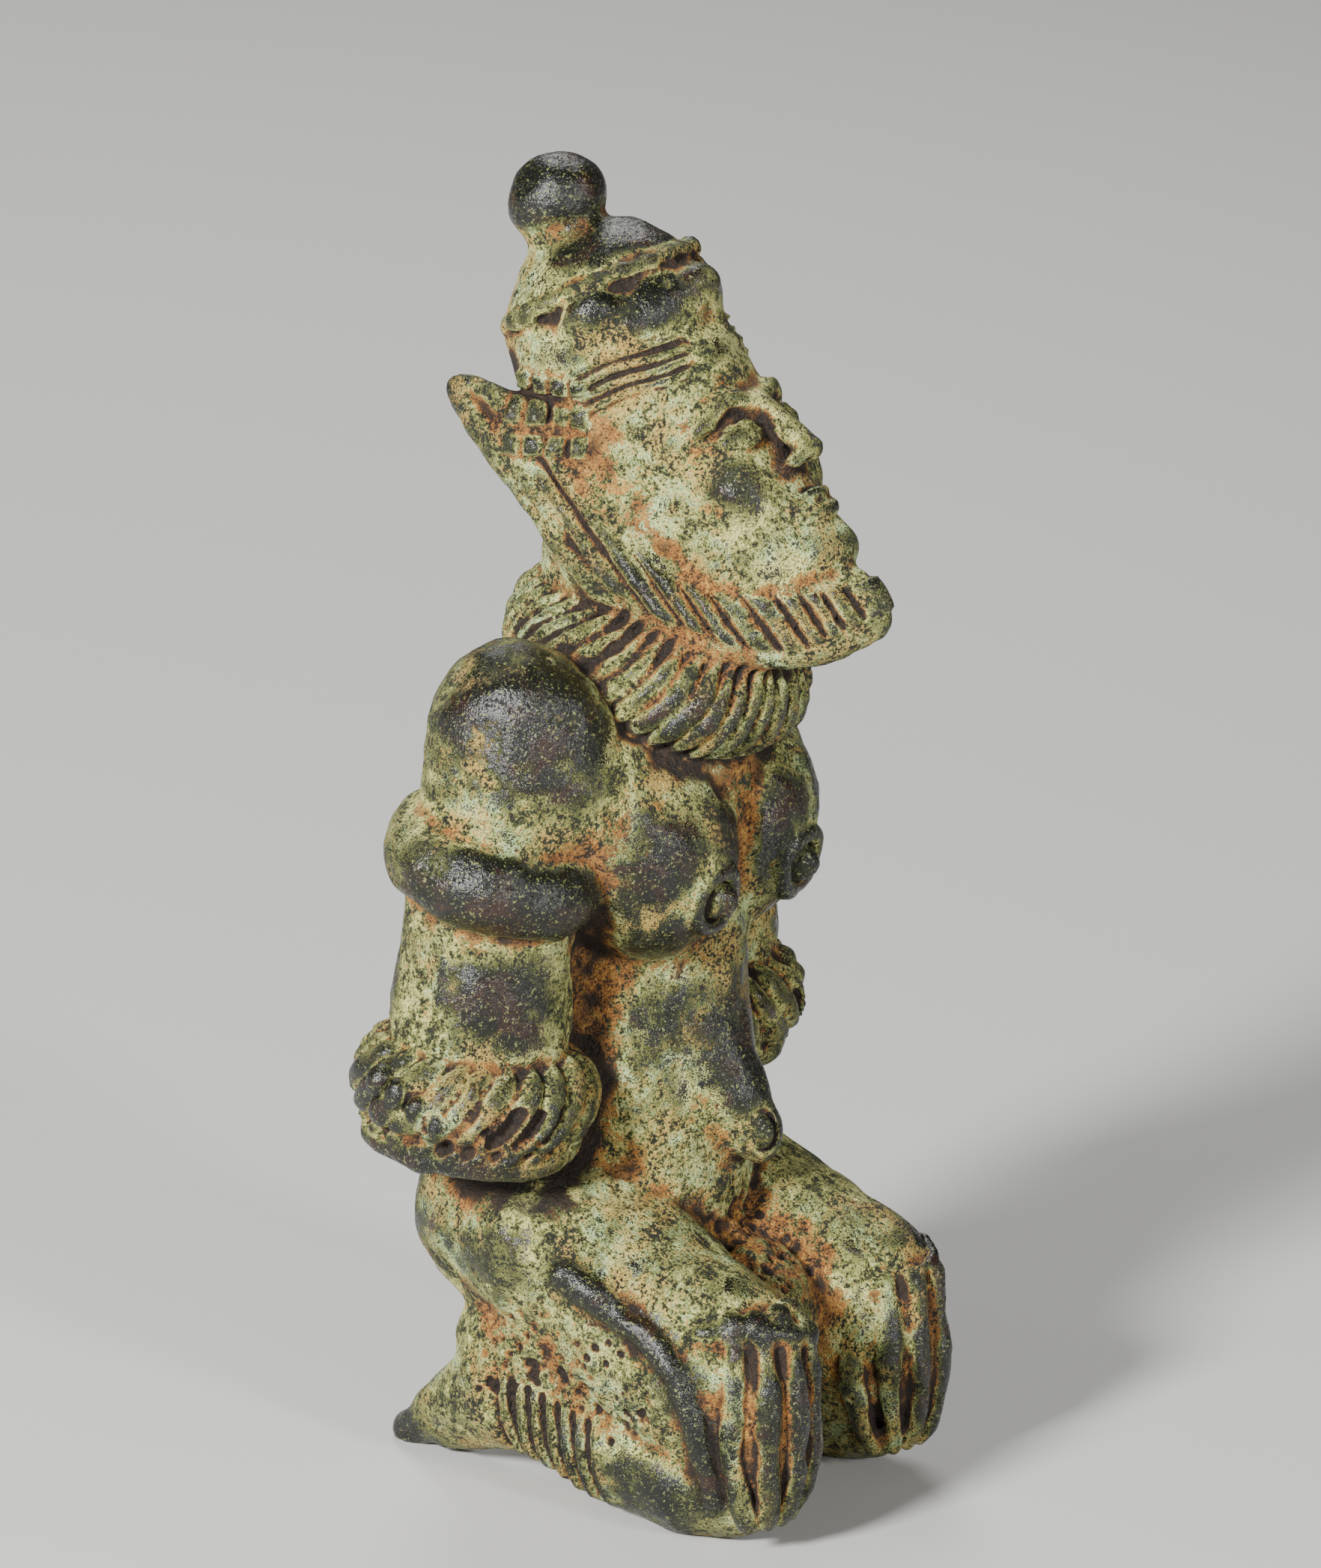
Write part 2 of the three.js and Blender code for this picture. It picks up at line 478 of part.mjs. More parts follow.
// Takes out edges, those that show least first, until few enough triangles are left. An edge stays where
// losing it would fold the surface or pinch it.
function thin({ points, triangles }, most) {
  const vector = (a, b) => [b[0] - a[0], b[1] - a[1], b[2] - a[2]];
  const cross = (a, b) => [a[1] * b[2] - a[2] * b[1], a[2] * b[0] - a[0] * b[2], a[0] * b[1] - a[1] * b[0]];
  const dot = (a, b) => a[0] * b[0] + a[1] * b[1] + a[2] * b[2];
  const normal = (a, b, c) => cross(vector(a, b), vector(a, c));
  const faces = triangles.map((t) => [...t]);
  const fans = points.map(() => new Set());
  faces.forEach((f, n) => f.forEach((v) => fans[v].add(n)));

  // Each point keeps the planes of the faces round it, summed as ten numbers.
  const planes = points.map(() => new Float64Array(10));
  for (const f of faces) {
    const n = normal(...f.map((v) => points[v]));
    const area = hypot(...n) || 1e-12;
    const [a, b, c] = n.map((s) => s / area);
    const d = -dot([a, b, c], points[f[0]]);
    const terms = [a * a, a * b, a * c, a * d, b * b, b * c, b * d, c * c, c * d, d * d];
    for (const v of f) terms.forEach((t, i) => (planes[v][i] += t * area));
  }
  const error = (q, [x, y, z]) => {
    const inX = q[0] * x * x + 2 * q[1] * x * y + 2 * q[2] * x * z + 2 * q[3] * x;
    const inY = q[4] * y * y + 2 * q[5] * y * z + 2 * q[6] * y;
    return inX + inY + q[7] * z * z + 2 * q[8] * z + q[9];
  };
  const best = (a, b) => {
    const q = planes[a].map((t, i) => t + planes[b][i]);
    const along = vector(points[a], points[b]);
    const middle = points[a].map((c, k) => c + along[k] / 2);
    const hessian = new THREE.Matrix3().set(q[0], q[1], q[2], q[1], q[4], q[5], q[2], q[5], q[7]);
    const choices = [middle, points[a], points[b]];
    if (abs(hessian.determinant()) > 1e-4) {
      const solved = new THREE.Vector3(-q[3], -q[6], -q[8]).applyMatrix3(hessian.invert()).toArray();
      if (hypot(...vector(middle, solved)) < hypot(...along)) choices.unshift(solved);
    }
    const place = choices.reduce((p, r) => (error(q, r) < error(q, p) ? r : p));
    return { q, place, cost: max(error(q, place), 0) + 1e-4 * dot(along, along) };
  };

  // A heap of edges by cost. An edge whose ends have changed since is passed over.
  const age = new Int32Array(points.length);
  const heap = [];
  const swap = (i, j) => ([heap[i], heap[j]] = [heap[j], heap[i]]);
  const push = (item) => {
    heap.push(item);
    let i = heap.length - 1;
    for (let up = (i - 1) >> 1; i && heap[i].cost < heap[up].cost; up = (i - 1) >> 1) {
      swap(i, up);
      i = up;
    }
  };
  const pop = () => {
    swap(0, heap.length - 1);
    const top = heap.pop();
    let i = 0;
    for (let j = 1; j < heap.length; j = 2 * i + 1) {
      if (j + 1 < heap.length && heap[j + 1].cost < heap[j].cost) j++;
      if (heap[i].cost <= heap[j].cost) break;
      swap(i, j);
      i = j;
    }
    return top;
  };
  const offer = (a, b) => push({ a, b, ages: [age[a], age[b]], ...best(a, b) });
  const neighbours = (v) => new Set([...fans[v]].flatMap((f) => faces[f]).filter((w) => w !== v));
  const folds = (v, other, place) => [...fans[v]].some((f) => {
    if (faces[f].includes(other)) return false;
    const before = normal(...faces[f].map((w) => points[w]));
    const after = normal(...faces[f].map((w) => (w === v ? place : points[w])));
    return dot(before, after) < 0.35 * hypot(...before) * hypot(...after) || hypot(...after) < 1e-3;
  });
  for (const f of faces) f.forEach((v, i) => v < f[(i + 1) % 3] && offer(v, f[(i + 1) % 3]));
  let left = faces.length;
  while (left > most && heap.length) {
    const { a, b, ages, q, place } = pop();
    if (ages[0] !== age[a] || ages[1] !== age[b]) continue;
    const around = neighbours(b);
    const shared = [...neighbours(a)].filter((v) => around.has(v));
    if (shared.length !== 2 || folds(a, b, place) || folds(b, a, place)) continue;
    for (const f of [...fans[b]]) {
      if (faces[f].includes(a)) {
        faces[f].forEach((v) => fans[v].delete(f));
        faces[f] = null;
        left--;
      } else {
        faces[f] = faces[f].map((v) => (v === b ? a : v));
        fans[a].add(f);
      }
    }
    points[a] = place;
    planes[a] = q;
    age[a]++;
    age[b]++;
    fans[b].clear();
    for (const v of neighbours(a)) offer(a, v);
  }
  return faces.filter(Boolean);
}

// A closed mesh as a solid that can be cut, and back.
const wasm = await Module();
wasm.setup();

function solid(geometry) {
  const bare = new THREE.BufferGeometry();
  bare.setAttribute("position", geometry.getAttribute("position")).setIndex(geometry.getIndex());
  const merged = mergeVertices(bare, 1e-4);
  const vertProperties = new Float32Array(merged.getAttribute("position").array);
  const triVerts = new Uint32Array(merged.getIndex().array);
  return new wasm.Manifold(new wasm.Mesh({ numProp: 3, vertProperties, triVerts }));
}

function geometryOf(manifold) {
  const { vertProperties, triVerts, numProp } = manifold.getMesh();
  const buffer = new THREE.InterleavedBuffer(vertProperties, numProp);
  const geometry = new THREE.BufferGeometry();
  geometry.setAttribute("position", new THREE.InterleavedBufferAttribute(buffer, 3, 0));
  return geometry.setIndex(new THREE.BufferAttribute(triVerts, 1));
}

// The box that a shape fills, found at a coarse step out to a reach on every side of the origin.
function boxOf(shape, reach, step) {
  const low = [reach, reach, reach];
  const high = [-reach, -reach, -reach];
  for (let x = -reach; x <= reach; x += step)
    for (let y = -reach; y <= reach; y += step)
      for (let z = -reach; z <= reach; z += step) {
        if (shape(x, y, z) > step) continue;
        [x, y, z].forEach((c, k) => {
          low[k] = min(low[k], c - step);
          high[k] = max(high[k], c + step);
        });
      }
  return [low, high];
}

// The figure's mesh, in millimetres, leant back as it stands and cut flat underneath.
function casting() {
  const shape = figure();
  const [low, high] = boxOf(shape, 1.5 * MODULES_HIGH, 4);
  const mesh = surface(shape, low, high, GRID_STEP);
  const faces = thin(mesh, MOST_TRIANGLES);
  const used = new Map([...new Set(faces.flat())].map((v, n) => [v, n]));
  const positions = [...used.keys()].flatMap((v) => mesh.points[v].map((c) => c * MODULE));
  const geometry = new THREE.BufferGeometry();
  geometry.setAttribute("position", new THREE.Float32BufferAttribute(positions, 3));
  geometry.setIndex(faces.flat().map((v) => used.get(v)));
  geometry.rotateX(-degrees(STANCE_LEAN));
  geometry.computeBoundingBox();
  const room = 2 * HEIGHT;
  const level = geometry.boundingBox.min.z + FOOTING;
  const ground = new THREE.BoxGeometry(room, room, room).translate(0, 0, level - room / 2);
  const cut = geometryOf(solid(geometry).subtract(solid(ground)));
  cut.computeBoundingBox();
  const { min: lowest, max: highest } = cut.boundingBox;
  return cut.translate(-(lowest.x + highest.x) / 2, -(lowest.y + highest.y) / 2, -lowest.z);
}

const bronze = new THREE.MeshStandardMaterial({ color: 0x8f9270, roughness: 0.7, metalness: 0.35 });
const kneelingFigure = new THREE.Mesh(casting(), bronze);
kneelingFigure.name = "kneeling_figure";

const group = new THREE.Group();
group.add(kneelingFigure);

export default group;
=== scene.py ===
"""A small kneeling figure, cast in bronze in one piece, with its fine carving, its casting pits and its
patina.

The figure is worked out here as its solid is, as one distance function of x, y and z, but at a finer
grain and with the carving that is too fine for the solid. Lengths are in modules, the figure's own
unit. It faces -Y and its left is +X. Both sides are alike but for the hands and the tip of the navel,
until the surface is roughened.
"""

import math

import bpy
import numpy as np
from mathutils import Matrix, Vector


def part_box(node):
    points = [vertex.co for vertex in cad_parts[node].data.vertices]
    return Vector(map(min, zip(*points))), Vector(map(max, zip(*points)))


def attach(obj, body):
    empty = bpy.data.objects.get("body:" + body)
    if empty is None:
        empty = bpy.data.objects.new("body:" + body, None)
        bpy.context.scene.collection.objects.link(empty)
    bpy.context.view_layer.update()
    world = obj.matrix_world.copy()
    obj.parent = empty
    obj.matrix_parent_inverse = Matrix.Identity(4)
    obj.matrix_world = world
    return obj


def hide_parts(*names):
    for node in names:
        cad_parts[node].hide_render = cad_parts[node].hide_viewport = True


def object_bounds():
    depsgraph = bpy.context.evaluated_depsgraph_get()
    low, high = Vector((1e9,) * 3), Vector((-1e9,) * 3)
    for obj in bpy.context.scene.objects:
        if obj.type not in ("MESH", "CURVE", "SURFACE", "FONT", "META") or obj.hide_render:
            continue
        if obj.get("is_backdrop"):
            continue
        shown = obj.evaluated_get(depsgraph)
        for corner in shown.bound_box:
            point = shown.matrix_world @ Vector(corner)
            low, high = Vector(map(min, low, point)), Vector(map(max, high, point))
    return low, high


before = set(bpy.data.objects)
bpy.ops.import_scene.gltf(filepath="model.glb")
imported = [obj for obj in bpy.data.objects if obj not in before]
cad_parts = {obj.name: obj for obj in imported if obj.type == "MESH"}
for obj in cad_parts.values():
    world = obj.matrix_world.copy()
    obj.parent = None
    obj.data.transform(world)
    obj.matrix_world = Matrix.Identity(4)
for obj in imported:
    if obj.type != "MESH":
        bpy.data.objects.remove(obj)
CAD_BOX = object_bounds()
NODE = "kneeling_figure"
LOWEST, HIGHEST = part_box(NODE)

MODULES_HIGH = 117.65
MODULE = (HIGHEST[2] - LOWEST[2]) / MODULES_HIGH  # in metres
MILLIMETRE = 0.001

# Spreads from the mid-plane.
SHOULDER_SPREAD = 17.3
ARM_SPREAD = 19
HIP_SPREAD = 8.5
KNEE_SPREAD = 12.3
BREAST_SPREAD = 7.2

# Heights above the ground.
SHOULDER_HEIGHT = 73.5
BREAST_HEIGHT = 60.3
ARMLET_HEIGHT = 61.2
CUFF_HEIGHT = 40.4
HIP_HEIGHT = 26.5
KNEE_HEIGHT = 12.5
WAIST_HEIGHT = (SHOULDER_HEIGHT + HIP_HEIGHT) / 2
COLLAR_CENTRE = (0, -6.9, SHOULDER_HEIGHT + 3.1)
HEAD_CENTRE = (0, -9, COLLAR_CENTRE[2] + 20.7)

# Girths, as radii.
ARM_GIRTH = 7.9
ARMLET_GIRTH = 3.9
CUFF_GIRTH = 3.6
COLLAR_GIRTH = 4.0
THIGH_GIRTH = 8.6
SHIN_GIRTH = 6.2
FINGER_GIRTH = 1.2

# The carving's repeats.
COLLAR_RIBS = 38
CUFF_PLAITS = 22
FINGERS = 4

# Angles, in degrees.
STANCE_LEAN = 5
HEAD_LEAN = 33
COLLAR_LEAN = 16
ARMLET_LEAN = 18
CUFF_LEAN = 9

# Widths of the carving's repeats.
ANKLE_PITCH = 1.6
LOCK_WIDTH = 2.05
LOCK_HEIGHT = 2.6
BEARD_PITCH = 1.95
STRAND_PITCH = 1.15

# A hand: the turns of its first and last finger, in radians from straight ahead to outward, how high
# over the knee's middle its fingers begin, and the girth of its knuckles.
NEAR_HAND = ((-0.25, 1.15), 9.2, 0.95)
FAR_HAND = ((-1.3, 0.1), 6.5, 0.3)

# The ridge round the cap, in the head's frame.
CAP_MIDDLE = 1.0
CAP_RIDGE_CENTRE = (0, CAP_MIDDLE - 0.7, 14.2)
CAP_RIDGE_LEAN = 6
BOSS_SIZE = 2.9

FOOTING = 0.7  # how deep the knees and the toes are worn flat
CLEARANCE = 0.9995  # the largest share of the solid's size that the carved mesh takes up
NEAR = 4  # how close to its ball a bounded shape is worked out
GRID_STEP = 0.3
MOST_TRIANGLES = 194000


# Distance functions. Each takes arrays x, y and z and gives the distance to a surface, negative inside.

def union(first, *others):
    def shape(x, y, z):
        nearest = first(x, y, z)
        for other in others:
            nearest = np.minimum(nearest, other(x, y, z))
        return nearest
    return shape


def soften(a, b, fillet):
    h = np.maximum(fillet - np.abs(a - b), 0) / fillet
    return np.minimum(a, b) - h * h * fillet / 4


def blend(fillet, first, *others):
    """A union whose creases are filled to a fillet of about the given width."""
    def shape(x, y, z):
        nearest = first(x, y, z)
        for other in others:
            nearest = soften(nearest, other(x, y, z), fillet)
        return nearest
    return shape


def carve(fillet, solid, hollow):
    return lambda x, y, z: -soften(-solid(x, y, z), hollow(x, y, z), fillet)


def pair(shape):
    return lambda x, y, z: shape(np.abs(x), y, z)


def within(centre, radius, shape):
    """A shape that is only worked out near a ball that holds it, to save time."""
    def bounded(x, y, z):
        away = np.sqrt((x - centre[0]) ** 2 + (y - centre[1]) ** 2 + (z - centre[2]) ** 2) - radius
        near = away <= NEAR
        if near.any():
            away[near] = shape(x[near], y[near], z[near])
        return away
    return bounded


def ellipsoid(centre, radii):
    (cx, cy, cz), (rx, ry, rz) = centre, radii

    def shape(x, y, z):
        u, v, w = (x - cx) / rx, (y - cy) / ry, (z - cz) / rz
        near = np.sqrt(u * u + v * v + w * w)
        slope = np.sqrt((u / rx) ** 2 + (v / ry) ** 2 + (w / rz) ** 2)
        return near * (near - 1) / np.maximum(slope, 1e-9)
    return shape


def strand(points, radius_at):
    """A strand along points, with the radius that radius_at gives for a share of its length."""
    points = np.array(points, float)
    steps = np.diff(points, axis=0)
    lengths = np.linalg.norm(steps, axis=1)
    total = lengths.sum()

    def shape(x, y, z):
        nearest = np.full(x.shape, np.inf)
        passed = 0.0
        for (ax, ay, az), (dx, dy, dz), length in zip(points, steps, lengths):
            t = ((x - ax) * dx + (y - ay) * dy + (z - az) * dz) / length ** 2
            t = np.clip(t, 0, 1)
            away = np.sqrt((x - ax - t * dx) ** 2 + (y - ay - t * dy) ** 2 + (z - az - t * dz) ** 2)
            nearest = np.minimum(nearest, away - radius_at((passed + t * length) / total))
            passed += length
        return nearest
    return shape


def limb(a, b, radius_a, radius_b):
    return strand([a, b], lambda t: radius_a + (radius_b - radius_a) * t)


def smooth(points, count):
    """A smooth line through points, as count + 1 points an equal share of the curve apart."""
    p = np.array(points, float)
    p = np.vstack([2 * p[0] - p[1], p, 2 * p[-1] - p[-2]])
    line = []
    for share in np.linspace(0, len(points) - 1, count + 1):
        i = min(int(share), len(points) - 2)
        t = share - i
        a, b, c, d = p[i:i + 4]
        line.append(b + t / 2 * (c - a + t * (2 * a - 5 * b + 4 * c - d + t * (3 * (b - c) + d - a))))
    return np.array(line)


def leaning(centre, angle, shape):
    """A shape made in a frame of its own, at a centre, leaning about the X axis."""
    c, s = math.cos(math.radians(angle)), math.sin(math.radians(angle))
    cx, cy, cz = centre
    return lambda x, y, z: shape(x - cx, (y - cy) * c + (z - cz) * s, -(y - cy) * s + (z - cz) * c)


def ring(radii, girth_at, tallness=1.0):
    """A ring round the Z axis. girth_at gives its radius by the turn round the axis and the height."""
    rx, ry = radii

    def shape(x, y, z):
        turn = np.arctan2(y / ry, x / rx)
        reach = np.sqrt((rx * np.cos(turn)) ** 2 + (ry * np.sin(turn)) ** 2)
        out = np.sqrt(x * x + y * y) - reach
        return np.sqrt(out * out + (z / tallness) ** 2) - girth_at(turn / (2 * math.pi), z)
    return shape


def wave(turns):
    return np.cos(2 * math.pi * turns)


def rope(turns):
    """Rounded ridges with narrow grooves between them, from -1 to 1."""
    return 2 * np.abs(np.cos(math.pi * turns)) ** 0.6 - 1


# The body.

def torso():
    chest = ellipsoid((0, -4.5, SHOULDER_HEIGHT - 8.5), (16.5, 10.8, 13))
    belly = limb((0, -3.5, WAIST_HEIGHT), (0, -3, HIP_HEIGHT + 4.5), 11, 12.2)
    navel = limb((0, -9.8, WAIST_HEIGHT - 4), (0, -16.8, WAIST_HEIGHT - 15.5), 4.2, 2.3)
    tip = (0, -17.4, WAIST_HEIGHT - 16.0)
    knob = ellipsoid(tip, (2.3, 2.1, 2.6))
    pocket = ellipsoid((-1.5, -18.8, tip[2] + 0.6), (1.7, 1.3, 2.4))
    nub = ellipsoid((-1.25, -18.4, tip[2] + 0.6), (1.1, 1.3, 1.6))
    cleft = limb((0, -17.8, BREAST_HEIGHT + 6.7), (0, -18, BREAST_HEIGHT - 7.3), 1.3, 1.3)
    body = blend(7, chest, belly)
    front = union(carve(0.3, blend(0.8, blend(2.5, body, navel), knob), pocket), nub)
    return blend(0.8, front, carve(1, breasts(), cleft))


def breasts():
    tip = (BREAST_SPREAD + 0.4, -17, BREAST_HEIGHT - 3.1)
    swell = ellipsoid((BREAST_SPREAD, -10, BREAST_HEIGHT), (8.4, 7.8, 9.4))
    nipple = ellipsoid(tip, (1.5, 2.1, 1.5))
    moat = leaning(tip, -76, ring((1.9, 1.9), lambda turn, z: 0.3))
    areola = leaning(tip, -76, ring((2.7, 2.7), lambda turn, z: 0.75))
    whole = union(carve(0.3, blend(0.4, swell, areola), moat), nipple)
    return pair(within((BREAST_SPREAD, -11, BREAST_HEIGHT - 0.8), 10.5, whole))


def shoulders():
    shoulder = (SHOULDER_SPREAD, -2.6, SHOULDER_HEIGHT)
    upper_arm = limb(shoulder, (ARM_SPREAD, -1.2, ARMLET_HEIGHT), ARM_GIRTH * 0.95, ARM_GIRTH * 0.94)
    breast_top = (BREAST_SPREAD + 3, -8.6, BREAST_HEIGHT + 2.7)
    front = limb((SHOULDER_SPREAD - 1, -4, SHOULDER_HEIGHT - 3), breast_top, 6.4, 6.6)
    armpit = (ARM_SPREAD - 7.5, -2, SHOULDER_HEIGHT - 7.5)
    web = limb(armpit, (ARM_SPREAD - 7, 0, CUFF_HEIGHT - 2), 4, 4.5)
    return pair(blend(3, upper_arm, front, web))


def arms():
    armlet_centre = (ARM_SPREAD, -1.2, ARMLET_HEIGHT)
    cuff_centre = (ARM_SPREAD, 1, CUFF_HEIGHT)
    lower = limb(armlet_centre, cuff_centre, ARM_GIRTH * 0.94, ARM_GIRTH * 1.04)
    lumpy = ring((6.2, 6.2), lambda turn, z: ARMLET_GIRTH + 0.22 * wave(turn * 2 + 0.2))
    armlet = leaning(armlet_centre, ARMLET_LEAN, lumpy)
    middle = (ARM_SPREAD, 0, (ARMLET_HEIGHT + CUFF_HEIGHT) / 2)
    reach = (ARMLET_HEIGHT - CUFF_HEIGHT) / 2 + 13
    return pair(within(middle, reach, union(lower, armlet, cuff(cuff_centre))))


def cuff(centre):
    """A plait that leans one way round the arm, with a few slots and pebbles, over a plain cord round the
    lower edge."""
    def plait(turn, z):
        uneven = 0.15 * wave(turn * 3) + 0.08 * wave(turn * 8 + 0.3)
        ridges = rope(turn * CUFF_PLAITS + z / 4.2 + uneven)
        return CUFF_GIRTH + 0.45 * ridges - 0.5 * np.exp(-((z + 2.4) / 0.5) ** 2)

    def on_band(angle, reach, level):
        t = math.radians(angle)
        return (reach * math.cos(t), reach * math.sin(t), level)
    band = ring((7.2, 7.2), plait, 1.2)
    cord = ring((8.4, 8.4), lambda turn, z: 1.5 + 0.1 * wave(turn * 9))
    slots, pebbles = [], []
    for angle, level, width in (-48, 0.1, 0.95), (-60, -0.1, 1.0), (-71, 0.1, 0.7):
        foot, top = on_band(angle + 5, 10.7, level - 1.5), on_band(angle - 5, 10.7, level + 1.5)
        slots.append(limb(foot, top, width, width * 0.8))
    for angle, level in (21, 1.9), (9, 1.5), (-3, 0.7), (-14, -0.3):
        pebbles.append(ellipsoid(on_band(angle, 10.8, level), (1.1, 0.95, 1.25)))
    carved = union(carve(0.3, band, union(*slots)), *pebbles)
    return leaning(centre, CUFF_LEAN, union(carved, lambda x, y, z: cord(x, y, z + 4.1)))


def neck():
    x, y, z = COLLAR_CENTRE
    throat = limb((x, y + 2, z - 4.6), (x, y + 2.2, HEAD_CENTRE[2] - 9.3), 9.0, 8.4)

    def ribs(turn, height):
        uneven = 0.2 * wave(turn * 4 + 0.1) + 0.1 * wave(turn * 7)
        slant = 0.3 * height * wave(turn)
        return COLLAR_GIRTH + 0.5 * rope(turn * COLLAR_RIBS + slant + uneven)
    collar = leaning(COLLAR_CENTRE, COLLAR_LEAN, ring((9, 9.9), ribs, 1.15))
    return union(throat, within(COLLAR_CENTRE, 15, collar))


# The legs.

def legs():
    hip = (HIP_SPREAD, 1.5, HIP_HEIGHT)
    knee = (KNEE_SPREAD, -21.8, KNEE_HEIGHT)
    ankle = (KNEE_SPREAD, -2, 10)
    thigh = limb(hip, (KNEE_SPREAD - 0.5, -18, 16), THIGH_GIRTH + 1.4, THIGH_GIRTH)
    cap = ellipsoid(knee, (6.6, 7.4, 11.6))
    forearm = limb((ARM_SPREAD - 3.5, -3, 26), (KNEE_SPREAD, -19, 19), 5.8, 5.4)
    shin = limb((KNEE_SPREAD + 0.4, -18, SHIN_GIRTH + 0.4), ankle, SHIN_GIRTH, SHIN_GIRTH - 1)
    foot = limb((KNEE_SPREAD - 0.2, 1.2, 10.4), (KNEE_SPREAD - 1.8, 12.8, 4.6), 6, 1.5)
    web = ellipsoid((KNEE_SPREAD - 0.1, -7, 15), (5.6, 13.5, 8.5))
    flesh = blend(2.5, thigh, cap, forearm)
    leg = union(blend(1.2, flesh, web, foot), blend(1.2, shin, web, cap))
    near_hand, far_hand = hand(knee, *NEAR_HAND), hand(knee, *FAR_HAND)

    def hands(x, y, z):
        return np.where(x < 0, near_hand(-x, y, z), far_hand(x, y, z))
    return union(pair(leg), hands)


# The ridge from the forearm down the outer side of the hand.
SIDE_RIDGE = smooth([(19.4, -8.9, 24.7), (19.4, -13.4, 21.9), (19.4, -17.6, 19.7), (19.7, -20.0, 17.3),
                     (19.6, -21.6, 14), (19.1, -22.2, 10.4), (17.6, -22.6, 6)], 14)


def finger_girth(t):
    return FINGER_GIRTH * (1 - 0.3 * t ** 3) * (1 + 0.04 * wave(t * 2.2))


def hand(knee, fan, top, knuckle_girth):
    """A hand spread over the knee: fingers that fan out between two turns, under a row of knuckles, and a
    long ridge down its side."""
    x, y, z = knee
    ridges = []
    for i in range(FINGERS):
        turn = fan[0] + (fan[1] - fan[0]) * i / (FINGERS - 1)

        def over(reach, level, drift=0.0):
            around = turn * (1 + drift)
            return (x + math.sin(around) * reach, y - math.cos(around) * reach * 1.1, z + level)
        first_reach = 4.5 + 0.4 * (NEAR_HAND[1] - top)
        route = smooth([over(first_reach, top), over(6.0, 0.6 * top, -0.06), over(6.5, 0),
                        over(6.2, -5.2, -0.08), over(4.9, -9.2, -0.25)], 10)
        ridges.append(strand(route, finger_girth))
    long_ridge = strand(SIDE_RIDGE, lambda t: 1.75 - 0.65 * t)
    knuckle_line = smooth([(18.2, -21.2, 20.8), (16.4, -25.2, 21.2), (13.6, -28.0, 20.4),
                           (10.6, -28.2, 20.0)], 8)
    knuckles = strand(knuckle_line, lambda t: knuckle_girth)
    hollow = ellipsoid((16.2, -24.2, 24.6), (2.6, 3.0, 1.7))
    fingers = carve(0.5, blend(0.8, union(*ridges), knuckles), hollow)
    return within((x + 2, y + 3, z + 1), 19, union(fingers, long_ridge))


# The head, in a frame of its own that leans back: x to the figure's left, y to the back, z to the crown.

def head():
    skull = ellipsoid((0, 1, 2), (8.7, 9.8, 16))
    nape = ellipsoid((0, 4.6, 2), (8.4, 7, 13.5))
    jaw = ellipsoid((0, -1.2, -11), (7.6, 8, 11.5))
    flesh = blend(2, skull, nape, jaw)
    side = blend(3, face(flesh), pair(flap()))
    whole = union(blend(0.6, side, beard()), cap())
    return leaning(HEAD_CENTRE, -HEAD_LEAN, within((0, 0, 0), 31, whole))


def face(flesh):
    """Calm and even. The brow, the foot of the nose and the chin lie about a third of the face apart."""
    brow_height, nose_height, mouth_height = -1.0, -8.4, -11.6
    brow_line = smooth([(0.7, -8.5, brow_height - 0.7), (3.6, -8.3, brow_height + 0.5),
                        (6.8, -5.7, brow_height - 0.9)], 8)
    brow = strand(brow_line, lambda t: 0.95 - 0.3 * t)
    socket = ellipsoid((3.7, -9.6, brow_height - 2.7), (2.7, 1.3, 1.5))
    ball = ellipsoid((3.7, -7.0, brow_height - 2.9), (2.3, 1.75, 1.35))
    lids = []
    for side in (1, -1):
        line = smooth([(1.5, -8.3, brow_height - 3), (3.5, -8.5, brow_height - 2.9 + 1.05 * side),
                       (5.9, -7.1, brow_height - 3.1)], 8)
        lids.append(strand(line, lambda t: 0.36))
    nose = limb((0, -8.9, brow_height - 0.5), (0, -10.9, nose_height + 0.9), 0.95, 1.35)
    nostril = ellipsoid((1.25, -9.9, nose_height + 0.5), (1.0, 1.2, 0.85))
    opening = ellipsoid((0.8, -10.8, nose_height - 0.3), (0.4, 0.5, 0.35))
    upper_line = smooth([(3.1, -8.3, mouth_height), (1.4, -9.6, mouth_height + 0.45),
                         (0, -9.8, mouth_height + 0.3)], 8)
    lower_line = smooth([(3.0, -8.3, mouth_height - 0.2), (1.3, -9.4, mouth_height - 1.1),
                         (0, -9.6, mouth_height - 1.2)], 8)
    upper_lip = strand(upper_line, lambda t: 0.45 + 0.25 * t)
    lower_lip = strand(lower_line, lambda t: 0.45 + 0.4 * t)
    cheek = ellipsoid((4.6, -5.6, -7.6), (2.9, 2.6, 3.2))
    chin = ellipsoid((0, -7.9, -16), (3.3, 2.2, 2.4))
    base = blend(1.8, flesh, pair(cheek), chin)
    base = carve(0.8, base, pair(socket))
    base = blend(1.0, base, pair(brow), nose)
    base = carve(0.3, blend(0.5, base, pair(nostril)), pair(opening))
    return blend(0.35, base, pair(union(ball, upper_lip, lower_lip, *lids)))


